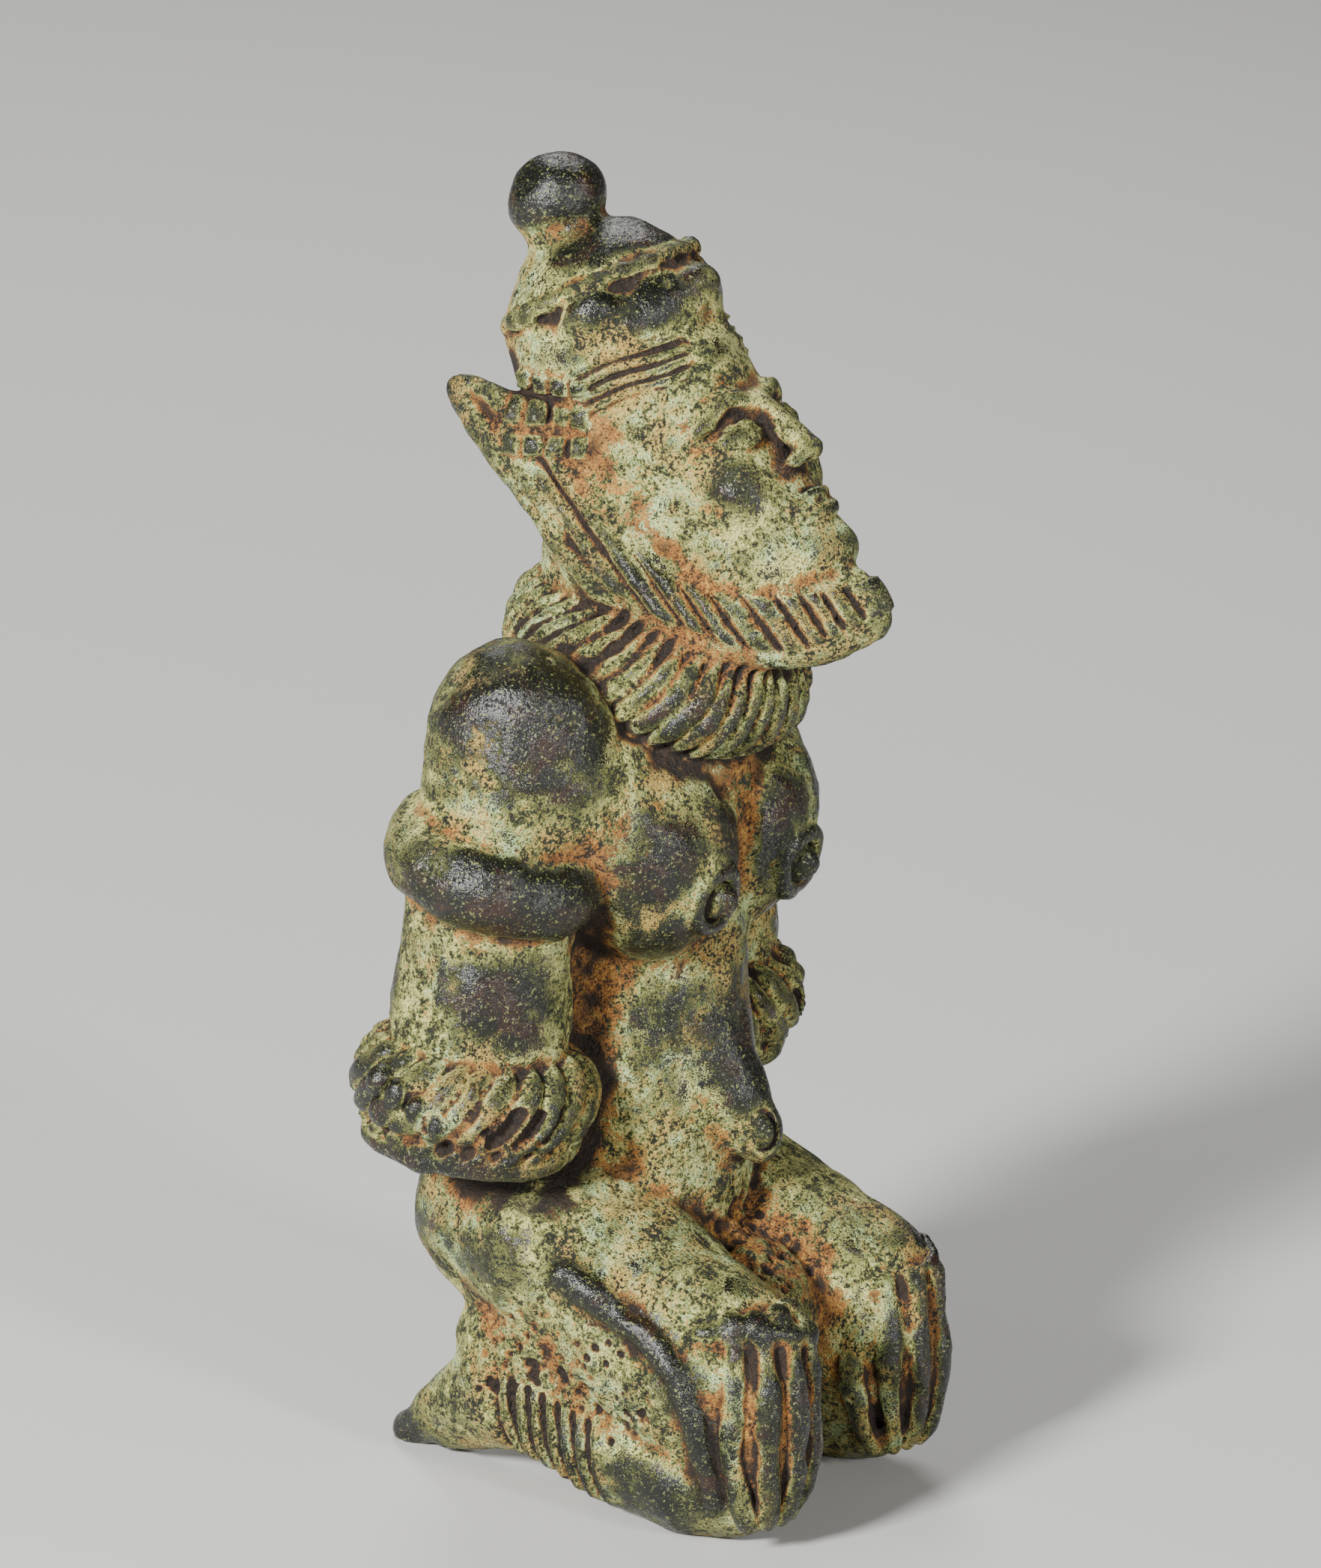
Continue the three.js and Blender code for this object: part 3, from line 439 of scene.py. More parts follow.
def cap():
    """A dome with a narrow ridge, a rolled brim with round bosses and a knob on top."""
    dome = ellipsoid((0, CAP_MIDDLE, 9.5), (9, 9.9, 10.9))
    stalk = limb((0, 1, 18), (0, 0, 22), 3.9, 3.6)
    knob = ellipsoid((0, -0.2, 22.9), (4.7, 4.7, 4))
    ticked = ring((8.7, 8.6), lambda turn, z: 0.85 + 0.1 * wave(turn * 22))
    ridge = leaning(CAP_RIDGE_CENTRE, CAP_RIDGE_LEAN, ticked)
    roll = ring((7.5, 8.3), lambda turn, z: 1.7 + 0.6 * wave(turn + 0.25), 1.1)
    brim = leaning((0, CAP_MIDDLE, 10.1), 3, roll)
    bosses = []
    for angle, height in (-90, 9.8), (-22, 11.8):
        a = math.radians(angle)
        centre = (8.1 * math.cos(a), CAP_MIDDLE + 8.8 * math.sin(a), height)
        bosses.append(ellipsoid(centre, (BOSS_SIZE, BOSS_SIZE, 2.3)))
    front_boss, side_boss = bosses
    rolled = blend(0.8, brim, front_boss, pair(side_boss))
    return union(blend(0.8, dome, blend(0.6, stalk, knob), rolled), ridge)


def beard_lines(count):
    """The inner and the outer edge of the beard along the jaw, from the ear to the chin."""
    inner = [(8.6, 7, 6), (8.4, 6.6, -2), (7.8, 4.7, -8.5), (6.8, 2, -13.3), (4.8, -3.4, -17.3),
             (0, -8.4, -19.8)]
    outer = [(9.2, 12, 6), (8.8, 10.6, -4.5), (8.4, 8.2, -11), (7.6, 4.3, -16.7), (4.4, -1.6, -22.6),
             (0, -8.2, -23.6)]
    return smooth(inner, count), smooth(outer, count)


def beard():
    """A band along the jaw, from under the ear to the chin, with a thin rim. Its locks are carved later."""
    inner, outer = beard_lines(30)
    plates = []
    for share in (0.15, 0.5, 0.82):
        line = inner + (outer - inner) * share - np.array((0.9, 0, 0))
        plates.append(strand(line, lambda t: 2.1 + 0.3 * t))
    rim = strand(outer, lambda t: 1.0)
    return pair(union(blend(1.0, *plates), rim))


def flap():
    """A broad pointed leaf behind the temple, with a groove along it."""
    leaf = ellipsoid((0, 0, 0), (1.9, 3.5, 10.5))
    groove = limb((1.8, -1.7, -5.5), (1.75, -1.0, 7.8), 0.95, 0.95)
    return leaning((8.2, 9.9, 3.4), -19, carve(0.4, leaf, groove))


def figure():
    seat = pair(ellipsoid((HIP_SPREAD, 2.6, HIP_HEIGHT + 1), (9, 9, 9.5)))
    lap = ellipsoid((0, -10.5, 17.5), (10, 12, 7.2))
    trunk = blend(3, torso(), seat, lap, shoulders())
    return blend(0.6, trunk, blend(2.2, neck(), head()), arms(), legs())


# From the distance function to a mesh.

def sample(shape, low, high, step):
    """The distances on a grid of corners. Blocks far from the surface take the distance at their middle."""
    widest = 8
    size = [math.ceil((h - l) / step / widest) * widest for l, h in zip(low, high)]
    values = np.empty(size, np.float32)
    flat = values.reshape(-1)
    starts = np.stack(np.meshgrid(*[np.arange(0, n, widest) for n in size], indexing="ij"), -1)
    starts = starts.reshape(-1, 3)
    span = widest
    while span > 1:
        middle = low + (starts + (span - 1) / 2) * step
        distance = shape(*middle.T)
        far = np.abs(distance) > span * step * 1.4
        offsets = np.stack(np.meshgrid(*[np.arange(span)] * 3, indexing="ij"), -1).reshape(-1, 3)
        whole = starts[far]
        for offset in offsets:
            at = whole + offset
            flat[(at[:, 0] * size[1] + at[:, 1]) * size[2] + at[:, 2]] = distance[far]
        span //= 2
        halves = np.stack(np.meshgrid(*[(0, span)] * 3, indexing="ij"), -1).reshape(-1, 3)
        starts = (starts[~far][:, None] + halves).reshape(-1, 3)
    flat[(starts[:, 0] * size[1] + starts[:, 1]) * size[2] + starts[:, 2]] = shape(*(low + starts * step).T)
    return values


# The eight corners of a cell of the grid, and its twelve edges as pairs of corners.
CORNERS = np.array([(a & 1, a >> 1 & 1, a >> 2) for a in range(8)])
EDGES = [(a, a | 1 << k) for a in range(8) for k in range(3) if not a & 1 << k]


def crossed_cells(values):
    """The cells that the surface passes through, and which of their corners are inside, as bits."""
    inside = values < 0
    n = [s - 1 for s in values.shape]
    bits = np.zeros(n, np.uint8)
    for a, (i, j, k) in enumerate(CORNERS):
        bits |= inside[i:i + n[0], j:j + n[1], k:k + n[2]].astype(np.uint8) << a
    cells = np.argwhere((bits > 0) & (bits < 255))
    return cells, bits[tuple(cells.T)]


def doubtful(bits):
    """Whether a cell's corners touch only across a diagonal, so that its surface would meet itself."""
    inside = [(bits >> a) & 1 for a in range(8)]
    count = sum(inside)
    for a, b, c, d in ((0, 1, 3, 2), (4, 5, 7, 6), (0, 1, 5, 4), (2, 3, 7, 6), (0, 2, 6, 4), (1, 3, 7, 5)):
        if inside[a] == inside[c] and inside[b] == inside[d] and inside[a] != inside[b]:
            return True
    pairs = [(0, 7), (1, 6), (2, 5), (3, 4)]
    return any(inside[a] == inside[b] and count == (2 if inside[a] else 6) for a, b in pairs)


def settle(values):
    """Fills corners until no cell is in doubt."""
    table = np.array([doubtful(bits) for bits in range(256)])
    filled = -1e-3
    while True:
        cells, bits = crossed_cells(values)
        doubt = table[bits]
        if not doubt.any():
            return
        at = cells[doubt][:, None] + CORNERS
        here = values[at[..., 0], at[..., 1], at[..., 2]]
        nearest = np.where(here < 0, np.inf, here).argmin(1)
        i, j, k = at[np.arange(len(at)), nearest].T
        values[i, j, k] = filled


def surface(values, low, step):
    """A point in each cell that the surface passes through, and two triangles across each grid edge that
    it cuts."""
    cells, _ = crossed_cells(values)
    number = np.full([s - 1 for s in values.shape], -1, np.int32)
    number[tuple(cells.T)] = np.arange(len(cells))
    total = np.zeros((len(cells), 3))
    cuts = np.zeros(len(cells))
    for a, b in EDGES:
        va = values[tuple((cells + CORNERS[a]).T)]
        vb = values[tuple((cells + CORNERS[b]).T)]
        cut = (va < 0) != (vb < 0)
        t = np.clip(va[cut] / (va[cut] - vb[cut]), 0.03, 0.97)[:, None]
        total[cut] += CORNERS[a] + t * (CORNERS[b] - CORNERS[a])
        cuts[cut] += 1
    points = low + (cells + total / cuts[:, None]) * step
    inside = values < 0
    faces = []
    for axis in range(3):
        ahead = np.roll(inside, -1, axis)
        at = np.argwhere(inside != ahead)
        at = at[(at > 0).all(1) & (at < np.array(values.shape) - 1).all(1)]
        u, v = np.eye(3, dtype=int)[[(axis + 1) % 3, (axis + 2) % 3]]
        ring_of_cells = ((1, 1), (0, 1), (0, 0), (1, 0))
        quad = np.stack([number[tuple((at - p * u - q * v).T)] for p, q in ring_of_cells], 1)
        outward = inside[tuple(at.T)]
        quad[~outward] = quad[~outward][:, ::-1]
        faces += [quad[:, [0, 1, 2]], quad[:, [0, 2, 3]]]
    return points, np.vstack(faces)


def largest_piece(points, faces):
    """Only what hangs together with the largest piece."""
    label = np.arange(len(points))
    a, b = faces[:, [0, 1, 1, 2]].reshape(-1, 2).T
    while True:
        low = np.minimum(label[a], label[b])
        if (label[a] == label[b]).all():
            break
        np.minimum.at(label, a, low)
        np.minimum.at(label, b, low)
        label = label[label]
    names, counts = np.unique(label, return_counts=True)
    keep = label == names[counts.argmax()]
    new = np.cumsum(keep) - 1
    return points[keep], new[faces[keep[faces[:, 0]]]]


def normals_of(points, faces):
    corner = points[faces]
    across = np.cross(corner[:, 1] - corner[:, 0], corner[:, 2] - corner[:, 0])
    total = np.stack([sum(np.bincount(faces[:, c], across[:, k], len(points)) for c in range(3))
                      for k in range(3)], 1)
    return total / np.maximum(np.linalg.norm(total, axis=1), 1e-12)[:, None]


def averaged(values, faces, rounds):
    """Values on points, each averaged with its neighbours a number of times."""
    a, b = faces[:, [0, 1, 1, 2, 2, 0]].reshape(-1, 2).T
    degree = np.bincount(a, minlength=len(values))[:, None]
    for _ in range(rounds):
        total = np.stack([np.bincount(a, column[b], len(values)) for column in values.T], 1)
        values = (values + total / degree) / 2
    return values


# Roughness of the cast and corroded skin.

def noise(points, size, seed):
    """Smooth noise from about -1 to 1, with lumps of the given size."""
    q = points / size + 31.7 * seed
    base = np.floor(q).astype(np.int64)
    t = q - base
    t = t * t * (3 - 2 * t)
    total = np.zeros(len(points))
    for corner in CORNERS:
        weight = np.where(corner, t, 1 - t).prod(1)
        total += weight * scatter(base + corner, seed)
    return total * 1.6


def scatter(cells, seed):
    """A number from -1 to 1 for each cell, the same on every run."""
    h = (cells[:, 0] * 73856093) ^ (cells[:, 1] * 19349663) ^ (cells[:, 2] * 83492791) ^ (seed * 2654435761)
    h = (h ^ (h >> 13)) * 1274126177 & 0xFFFFFFFF
    h = (h ^ (h >> 16)) & 0xFFFF
    return h / 32767.5 - 1


def pits(points, size, radius, density, seed):
    """How deep each point lies in a round pit, from 0 to 1. Pits lie at random, at most one to a cell."""
    base = np.floor(points / size).astype(np.int64)
    deepest = np.zeros(len(points))
    for offset in np.ndindex(3, 3, 3):
        cell = base + np.array(offset) - 1
        place = np.stack([scatter(cell, seed + k) * 0.5 + 0.5 for k in range(3)], 1)
        away = np.linalg.norm((cell + place) * size - points, axis=1)
        reach = radius * (0.6 + 0.5 * np.abs(scatter(cell, seed + 3)))
        present = scatter(cell, seed + 4) * 0.5 + 0.5 < density
        deepest = np.maximum(deepest, np.where(present, 1 - (away / reach) ** 2, 0))
    return deepest


def near(points, centre, radii):
    """1 at a centre, fading to 0 over the radii, on both sides of the figure."""
    offset = (np.abs(points[:, 0])[:, None] * (1, 0, 0) + points * (0, 1, 1) - centre) / radii
    return np.clip(1 - np.linalg.norm(offset, axis=1), 0, 1)


def to_head(points):
    """Points in the head's own frame, both sides on one."""
    c, s = math.cos(math.radians(HEAD_LEAN)), math.sin(math.radians(HEAD_LEAN))
    x, y, z = (points - np.array(HEAD_CENTRE)).T
    return np.stack([np.abs(x), y * c - z * s, y * s + z * c], 1)


def beside(line, points):
    """For each point, how far it is from a line, and the nearest place on the line: how far along it is,
    and its step's number and share."""
    steps = np.diff(line, axis=0)
    lengths = np.linalg.norm(steps, axis=1)
    passed = np.concatenate([[0], np.cumsum(lengths)])
    best = np.full(len(points), np.inf)
    along, number, share = (np.zeros(len(points)) for _ in range(3))
    for i, (start, step, length) in enumerate(zip(line, steps, lengths)):
        t = np.clip((points - start) @ step / length ** 2, 0, 1)
        away = np.linalg.norm(points - start - t[:, None] * step, axis=1)
        nearer = away < best
        best[nearer] = away[nearer]
        along[nearer] = passed[i] + t[nearer] * length
        number[nearer] = i
        share[nearer] = t[nearer]
    return best, along, number.astype(int), share


def window(value, low, high, edge):
    """1 between low and high, fading to 0 over an edge outside them."""
    return np.clip((value - low) / edge + 1, 0, 1) * np.clip((high - value) / edge + 1, 0, 1)


def beard_strokes(local):
    """Upright locks across the beard band, with narrow grooves between them."""
    inner, outer = beard_lines(60)
    middle = (inner + outer) / 2
    away, _, number, share = beside(middle, local)
    across = (outer - inner)[number]
    width = np.linalg.norm(across, axis=1)
    place = middle[number] + share[:, None] * (middle[number + 1] - middle[number])
    side = ((local - place) * across).sum(1) / width ** 2 * 2
    level_line = np.stack([middle[:, 0], middle[:, 1], np.zeros(len(middle))], 1)
    level_points = local * (1, 1, 0)
    _, along, _, _ = beside(level_line, level_points)
    along = along + 0.25 * wave(along / 9) + 0.1 * (local[:, 2] + 12)
    mask = window(side, -0.85, 0.6, 0.2) * window(away, 0, 3.6, 0.6) * window(local[:, 2], -40, 1, 3)
    return 0.62 * (rope(along / BEARD_PITCH) - 0.1) * mask


def temple_locks(local):
    """Small square locks in three rows behind the temple."""
    across = -(0.84 * local[:, 1] + 0.54 * local[:, 2]) + 8.9
    up = -0.545 * local[:, 1] + 0.839 * local[:, 2] - 1.9
    i = np.clip(np.round(across / LOCK_WIDTH), -1, 2)
    j = np.clip(np.round(up / LOCK_HEIGHT), -1, 1)
    block = window(across - i * LOCK_WIDTH, -0.6, 0.6, 0.3) * window(up - j * LOCK_HEIGHT, -0.65, 0.65, 0.35)
    return 0.7 * block * (local[:, 0] > 4)


def combed_hair(local):
    """Fine strands combed forward over the temple."""
    level = local[:, 2] + 0.17 * (1.3 - local[:, 1]) + 0.15 * np.sin(local[:, 1] * 0.8)
    mask = window(level, 4.4, 8.2, 0.5) * window(local[:, 1], -6.6, 1.2, 1.2) * (local[:, 0] > 1)
    return 0.34 * wave(level / STRAND_PITCH) * mask


# The middle of the coils on the outer side of an ankle.
ANKLET_PLACE = (17.5, -5.8, 7)

# Where the casting is full of pits, and how much: the webs under the thighs, the lap, the shins, the
# cuffs, the collar and the belly.
PITTED = [((18, -7, 14), (9, 15, 9), 1.0), ((0, -13, 21), (11, 12, 9), 1.3), ((13, -8, 5), (9, 12, 5), 0.5),
          ((19, 1, 38), (12, 12, 9), 0.5), ((0, -6, 80), (13, 12, 9), 0.35), ((5, 3, 42), (14, 12, 14), 0.3)]

# The few large casting pits on the webs, and how wide they are.
LARGE_PITS = [((17.7, -4.3, 14.2), 1.3), ((17.9, -7.2, 14.5), 0.9), ((18.8, -14.5, 12.4), 1.0),
              ((19.6, -16.4, 12.6), 0.9), ((17.2, -10.4, 16.4), 0.7), ((17.5, 0.6, 12.8), 0.7)]


def anklet_coils(points):
    """Short raised coils side by side round the ankles' outer sides, leaning a little back at the top."""
    along = points[:, 1] - 0.1 * (points[:, 2] - 6)
    rounded = wave(along / ANKLE_PITCH) - 0.1 * wave(2 * along / ANKLE_PITCH)
    level = points[:, 2] - 10.3 - 0.28 * (points[:, 1] + 2)
    mask = window(along, ANKLET_PLACE[1] - 5, ANKLET_PLACE[1] + 4.6, 0.6) * window(level, -4.2, 2.4, 0.9)
    return 0.48 * rounded * mask * (np.abs(points[:, 0]) > 6.5)


def roughened(points, faces):
    """The points moved out and in by the finest carving, the casting pits and the corrosion."""
    normal = normals_of(points, faces)
    local = to_head(points)
    on_head = points[:, 2] > 70
    relief = np.zeros(len(points))
    for pattern in (beard_strokes, temple_locks, combed_hair):
        relief[on_head] += pattern(local[on_head])
    relief += anklet_coils(points)
    pitted = np.max([near(points, c, r) * share for c, r, share in PITTED], 0)
    pitted *= 1 - np.clip(3 * near(points, ANKLET_PLACE, (7, 7.5, 6.5)), 0, 1)
    relief += 0.22 * noise(points, 6, 1) + 0.13 * noise(points, 2.8, 2) + 0.1 * noise(points, 1.4, 3)
    relief += 0.3 * pitted * noise(points, 1.0, 4)
    relief -= 0.6 * pits(points, 1.9, 0.8, 0.55, 10) * np.clip(pitted * 2.2, 0, 1)
    relief -= 0.55 * pits(points, 1.2, 0.55, 0.6, 20) * np.clip(pitted * 2.5 - 0.3, 0, 1)
    relief -= 0.3 * pits(points, 4.2, 0.6, 0.35, 30)
    for centre, width in LARGE_PITS:
        radii = (1.6 * width, width, width * 1.2)
        ragged = near(points, centre, radii) * (1 + 0.5 * noise(points, 0.9, 5))
        relief -= 1.3 * width * np.clip(ragged, 0, 0.7)
    return points + normal * relief[:, None]


def stood(points):
    """The figure leant back as it stands, in modules."""
    c, s = math.cos(math.radians(STANCE_LEAN)), math.sin(math.radians(STANCE_LEAN))
    x, y, z = np.asarray(points, float).T
    return np.stack([x, y * c + z * s, -y * s + z * c], 1)


def mesh_object(name, points, faces):
    mesh = bpy.data.meshes.new(name)
    mesh.from_pydata([], [], [])
    mesh.vertices.add(len(points))
    mesh.vertices.foreach_set("co", np.asarray(points, np.float32).ravel())
    mesh.loops.add(faces.size)
    mesh.loops.foreach_set("vertex_index", np.asarray(faces, np.int32).ravel())
    mesh.polygons.add(len(faces))
    mesh.polygons.foreach_set("loop_start", np.arange(0, faces.size, 3, dtype=np.int32))
    mesh.update(calc_edges=True)
    mesh.validate()
    made = bpy.data.objects.new(name, mesh)
    bpy.context.scene.collection.objects.link(made)
    return made


def thinned(points, faces, most):
    """The mesh with the edges that show least taken out, until few enough triangles are left."""
    dense = mesh_object("dense", points, faces)
    modifier = dense.modifiers.new("thin", "DECIMATE")
    modifier.ratio = min(most / len(faces), 1)
    fewer = bpy.data.meshes.new_from_object(dense.evaluated_get(bpy.context.evaluated_depsgraph_get()))
    fewer_points = np.empty(len(fewer.vertices) * 3, np.float32)
    fewer.vertices.foreach_get("co", fewer_points)
    fewer.calc_loop_triangles()
    fewer_faces = np.empty(len(fewer.loop_triangles) * 3, np.int32)
    fewer.loop_triangles.foreach_get("vertices", fewer_faces)
    bpy.data.objects.remove(dense)
    bpy.data.meshes.remove(fewer)
    return fewer_points.reshape(-1, 3).astype(float), fewer_faces.reshape(-1, 3)


SHAPE = figure()
# The box that is sampled.
LOW, HIGH = np.array((-34.0, -37.0, -3.0)), np.array((34.0, 24.0, 124.0))
grid = sample(SHAPE, LOW, HIGH, GRID_STEP)
settle(grid)
points, faces = largest_piece(*surface(grid, LOW, GRID_STEP))
points, faces = thinned(roughened(points, faces), faces, MOST_TRIANGLES)

# Stand it up, and wear it flat underneath.
placed = stood(points)
level = placed[:, 2].min() + FOOTING
placed[:, 2] = np.maximum(placed[:, 2], level)
middle = (placed.min(0) + placed.max(0)) / 2
shift = -np.array((middle[0], middle[1], level))
placed = (placed + shift) * MODULE
# The carving stands proud of the solid: with the cuffs' pebbles by 2% of its width, and by 0.6% of its
# depth. Each way, the whole mesh is drawn in to just inside the solid's own size.
solid_size = np.subtract(HIGHEST, LOWEST)
placed *= np.minimum(CLEARANCE * solid_size / np.ptp(placed, axis=0), 1)
figure_object = mesh_object("figure_casting", placed, faces)
figure_object.data.shade_smooth()


# What the patina and the painted shade follow, as numbers on the points.

normal = normals_of(points, faces)


def groove(rounds, depth):
    """How far each point lies below the average round it: 1 in a groove as deep as given, -1 on a ridge."""
    below = ((averaged(points, faces, rounds) - points) * normal).sum(1) / depth
    return np.clip(averaged(below[:, None], faces, 1)[:, 0], -1, 1)


def shelter(reach):
    """How much of the open space over each point is taken by the figure itself, from 0 to 1."""
    over = points + normal * reach
    return np.clip(1 - SHAPE(*over.T) / reach, 0, 1)


# Where handling has worn the skin down to dark metal, and where dark metal is partly painted shade, under
# the breasts and between the armpits and the breasts: a centre, how far it reaches, and how strongly.
WORN_AND_SHADED = [
    ((6, -17, 93.5), (4, 4, 3.5), 0.5),
    ((21, -6.5, 74.5), (10, 11, 11), 1.0),
    ((25, -7, 60), (12, 12, 6.5), 1.15),
    ((17.5, -10, 59), (7, 7, 5), 0.9),
    ((24.6, -5.6, 50), (7, 7, 8.5), 1.0),
    ((27, -3, 36.2), (10, 13, 3.6), 0.9),
    ((27.5, 5, 41.5), (7, 8, 5), 0.7),
    # Between the armpit and the breast, and under the breast: dark metal that is partly painted shade.
    ((13.5, -15, 61), (4.5, 5, 9), 0.9),
    ((9, -16, 54), (9, 7, 5.5), 0.9),
    ((4.5, -17, 60), (5, 5, 10), 0.85),
    ((6, -13, 46), (9, 8, 9), 0.65),
    ((1, -16, 42), (6, 6, 11), 0.95),
    ((9, -15, 73), (9, 9, 6), 0.55),
    ((0, 3, 119), (9, 10, 7), 1.15),
    ((2.5, -4, 115), (11, 11, 4.5), 1.1),
    ((5.5, -8.5, 110.3), (7, 7, 4.5), 1.15),
    ((15.5, -26, 21), (6, 6, 2.6), 1.0),
    ((13, -30, 12), (9, 6, 13), 0.6),
    ((18, -16, 4.5), (6, 9, 5), 0.6),
    ((18, -1, 25), (5, 7, 4), 0.5),
    ((11, 13, 4), (4, 6, 4), 1.15),
    ((8.6, -10, 85), (3, 9, 6), 0.55),
    ((9.5, 11, 98), (2.5, 5, 8), 0.65),
    ((12, 8, 72), (10, 7, 10), 0.8),
    ((20, 8, 52), (7, 6, 9), 0.85),
    ((9, 11, 27), (9, 7, 9), 0.8),
    ((0, 12, 98), (9, 8, 12), 0.8),
    ((0, 8, 55), (7, 7, 14), 0.6),
]
# Where orange earth and rust lie.
EARTHY = [
    ((8.5, -2, 96), (4, 8, 6), 0.6),
    ((0, -15, 21), (14, 16, 9), 1.1),
    ((0, -21, 11), (9, 13, 14), 1.0),
    ((7, -17, 81), (10, 13, 8), 0.8),
    ((0, -17, 65), (4.5, 6, 12), 0.9),
    ((16, -12, 63), (6, 6, 6), 0.7),
    ((12, -7, 50), (4, 8, 17), 1.0),
    ((15, -27, 13), (9, 8, 11), 0.9),
    ((6, -21, 82), (6, 8, 7), 0.6),
    ((9.5, 9, 96), (4, 7, 9), 0.75),
    ((9, 2, 99), (4, 9, 7), 0.8),
    ((18, 4, 31), (8, 9, 5), 0.8),
    ((18, -5, 15), (5, 11, 8), 0.5),
    ((25, -3, 38.5), (9, 13, 3), 0.7),
    ((0, 2, 114), (8, 8, 4), 0.5),
    ((0, -8, 76), (15, 15, 6), 0.5),
]


def spread(places):
    """For each point, the most that any of the places gives it."""
    return np.max([near(points, c, r) * share for c, r, share in places], 0)


def beside_ridge():
    """1 on the hands' long ridges, fading to 0 beside them."""
    away = beside(SIDE_RIDGE, np.abs(points) * (1, 0, 0) + points * (0, 1, 1))[0]
    return np.clip(1.9 - away / 1.5, 0, 1)


def on_cap_ridge():
    """1 on the narrow ridge round the cap, which keeps its pale patina."""
    local = to_head(points)
    c, s = math.cos(math.radians(CAP_RIDGE_LEAN)), math.sin(math.radians(CAP_RIDGE_LEAN))
    _, y, z = (local - CAP_RIDGE_CENTRE).T
    return window(z * c - y * s, -0.7, 0.8, 0.5)


# The face is kept mostly clear of the rust and the painted shade that lie in sheltered places.
FACE_PLACE, FACE_REACH = (3, -15, 90), (10, 10, 13)
open_face = 1 - 0.75 * np.clip(2 * near(points, FACE_PLACE, FACE_REACH), 0, 1)
# How enclosed each point is, which lays rust and painted shade in the most enclosed places.
sheltered = np.maximum(np.maximum(0.8 * shelter(0.8), shelter(1.8)), 0.9 * shelter(5))
covers = {
    "groove": groove(4, 0.13),
    "broad": groove(40, 0.5),
    "shelter": open_face * sheltered,
    "worn_and_shaded": np.maximum(spread(WORN_AND_SHADED), beside_ridge()) * (1 - 0.8 * on_cap_ridge()),
    "earthy": spread(EARTHY),
}
for name, values in covers.items():
    attribute = figure_object.data.attributes.new(name, "FLOAT", "POINT")
    attribute.data.foreach_set("value", values.astype(np.float32))


# Materials.

class Nodes:
    """A short way to write a material's nodes."""

    def __init__(self, name):
        self.material = bpy.data.materials.new(name)
        self.material.use_nodes = True
        self.tree = self.material.node_tree
        self.shader = self.tree.nodes["Principled BSDF"]

    def put(self, socket, value):
        if isinstance(value, bpy.types.NodeSocket):
            self.tree.links.new(value, socket)
        else:
            socket.default_value = value

    def node(self, kind, **inputs):
        made = self.tree.nodes.new(kind)
        for name, value in inputs.items():
            self.put(made.inputs[name], value)
        return made

    def place(self):
        """The place on the object, in millimetres."""
        scaled = self.tree.nodes.new("ShaderNodeVectorMath")
        scaled.operation = "SCALE"
        self.put(scaled.inputs[0], self.tree.nodes.new("ShaderNodeTexCoord").outputs["Object"])
        scaled.inputs["Scale"].default_value = 1 / MILLIMETRE
        return scaled.outputs[0]

    def noise(self, place, size, detail, rough, warp=0.0):
        made = self.node("ShaderNodeTexNoise", Vector=place, Scale=1 / size, Detail=detail,
                         Roughness=rough, Distortion=warp)
        return made.outputs["Fac"]

    def value(self, name):
        """A number that the mesh carries on its points."""
        made = self.tree.nodes.new("ShaderNodeAttribute")
        made.attribute_name = name
        return made.outputs["Fac"]

    def math(self, operation, a, b):
        made = self.tree.nodes.new("ShaderNodeMath")
        made.operation = operation
        self.put(made.inputs[0], a)
        self.put(made.inputs[1], b)
        return made.outputs[0]

    def total(self, *terms):
        """The sum of (value, factor) pairs."""
        result = None
        for value, factor in terms:
            term = self.math("MULTIPLY", value, factor)
            result = term if result is None else self.math("ADD", result, term)
        return result

    def between(self, value, low, high, to_low=0.0, to_high=1.0):
        """The value from low to high as a soft step between two numbers."""
        made = self.node("ShaderNodeMapRange", Value=value)
        made.interpolation_type = "SMOOTHSTEP"
        limits = {"From Min": low, "From Max": high, "To Min": to_low, "To Max": to_high}
        for name, number in limits.items():
            made.inputs[name].default_value = number
        return made.outputs["Result"]

    def mix(self, factor, a, b):
        made = self.tree.nodes.new("ShaderNodeMix")
        made.data_type = "RGBA"
        self.put(made.inputs["Factor"], factor)
        for socket, value in ((made.inputs[6], a), (made.inputs[7], b)):
            self.put(socket, value if isinstance(value, bpy.types.NodeSocket) else (*value, 1))
        return made.outputs[2]


BUMP_DEPTH = 0.6  # in millimetres


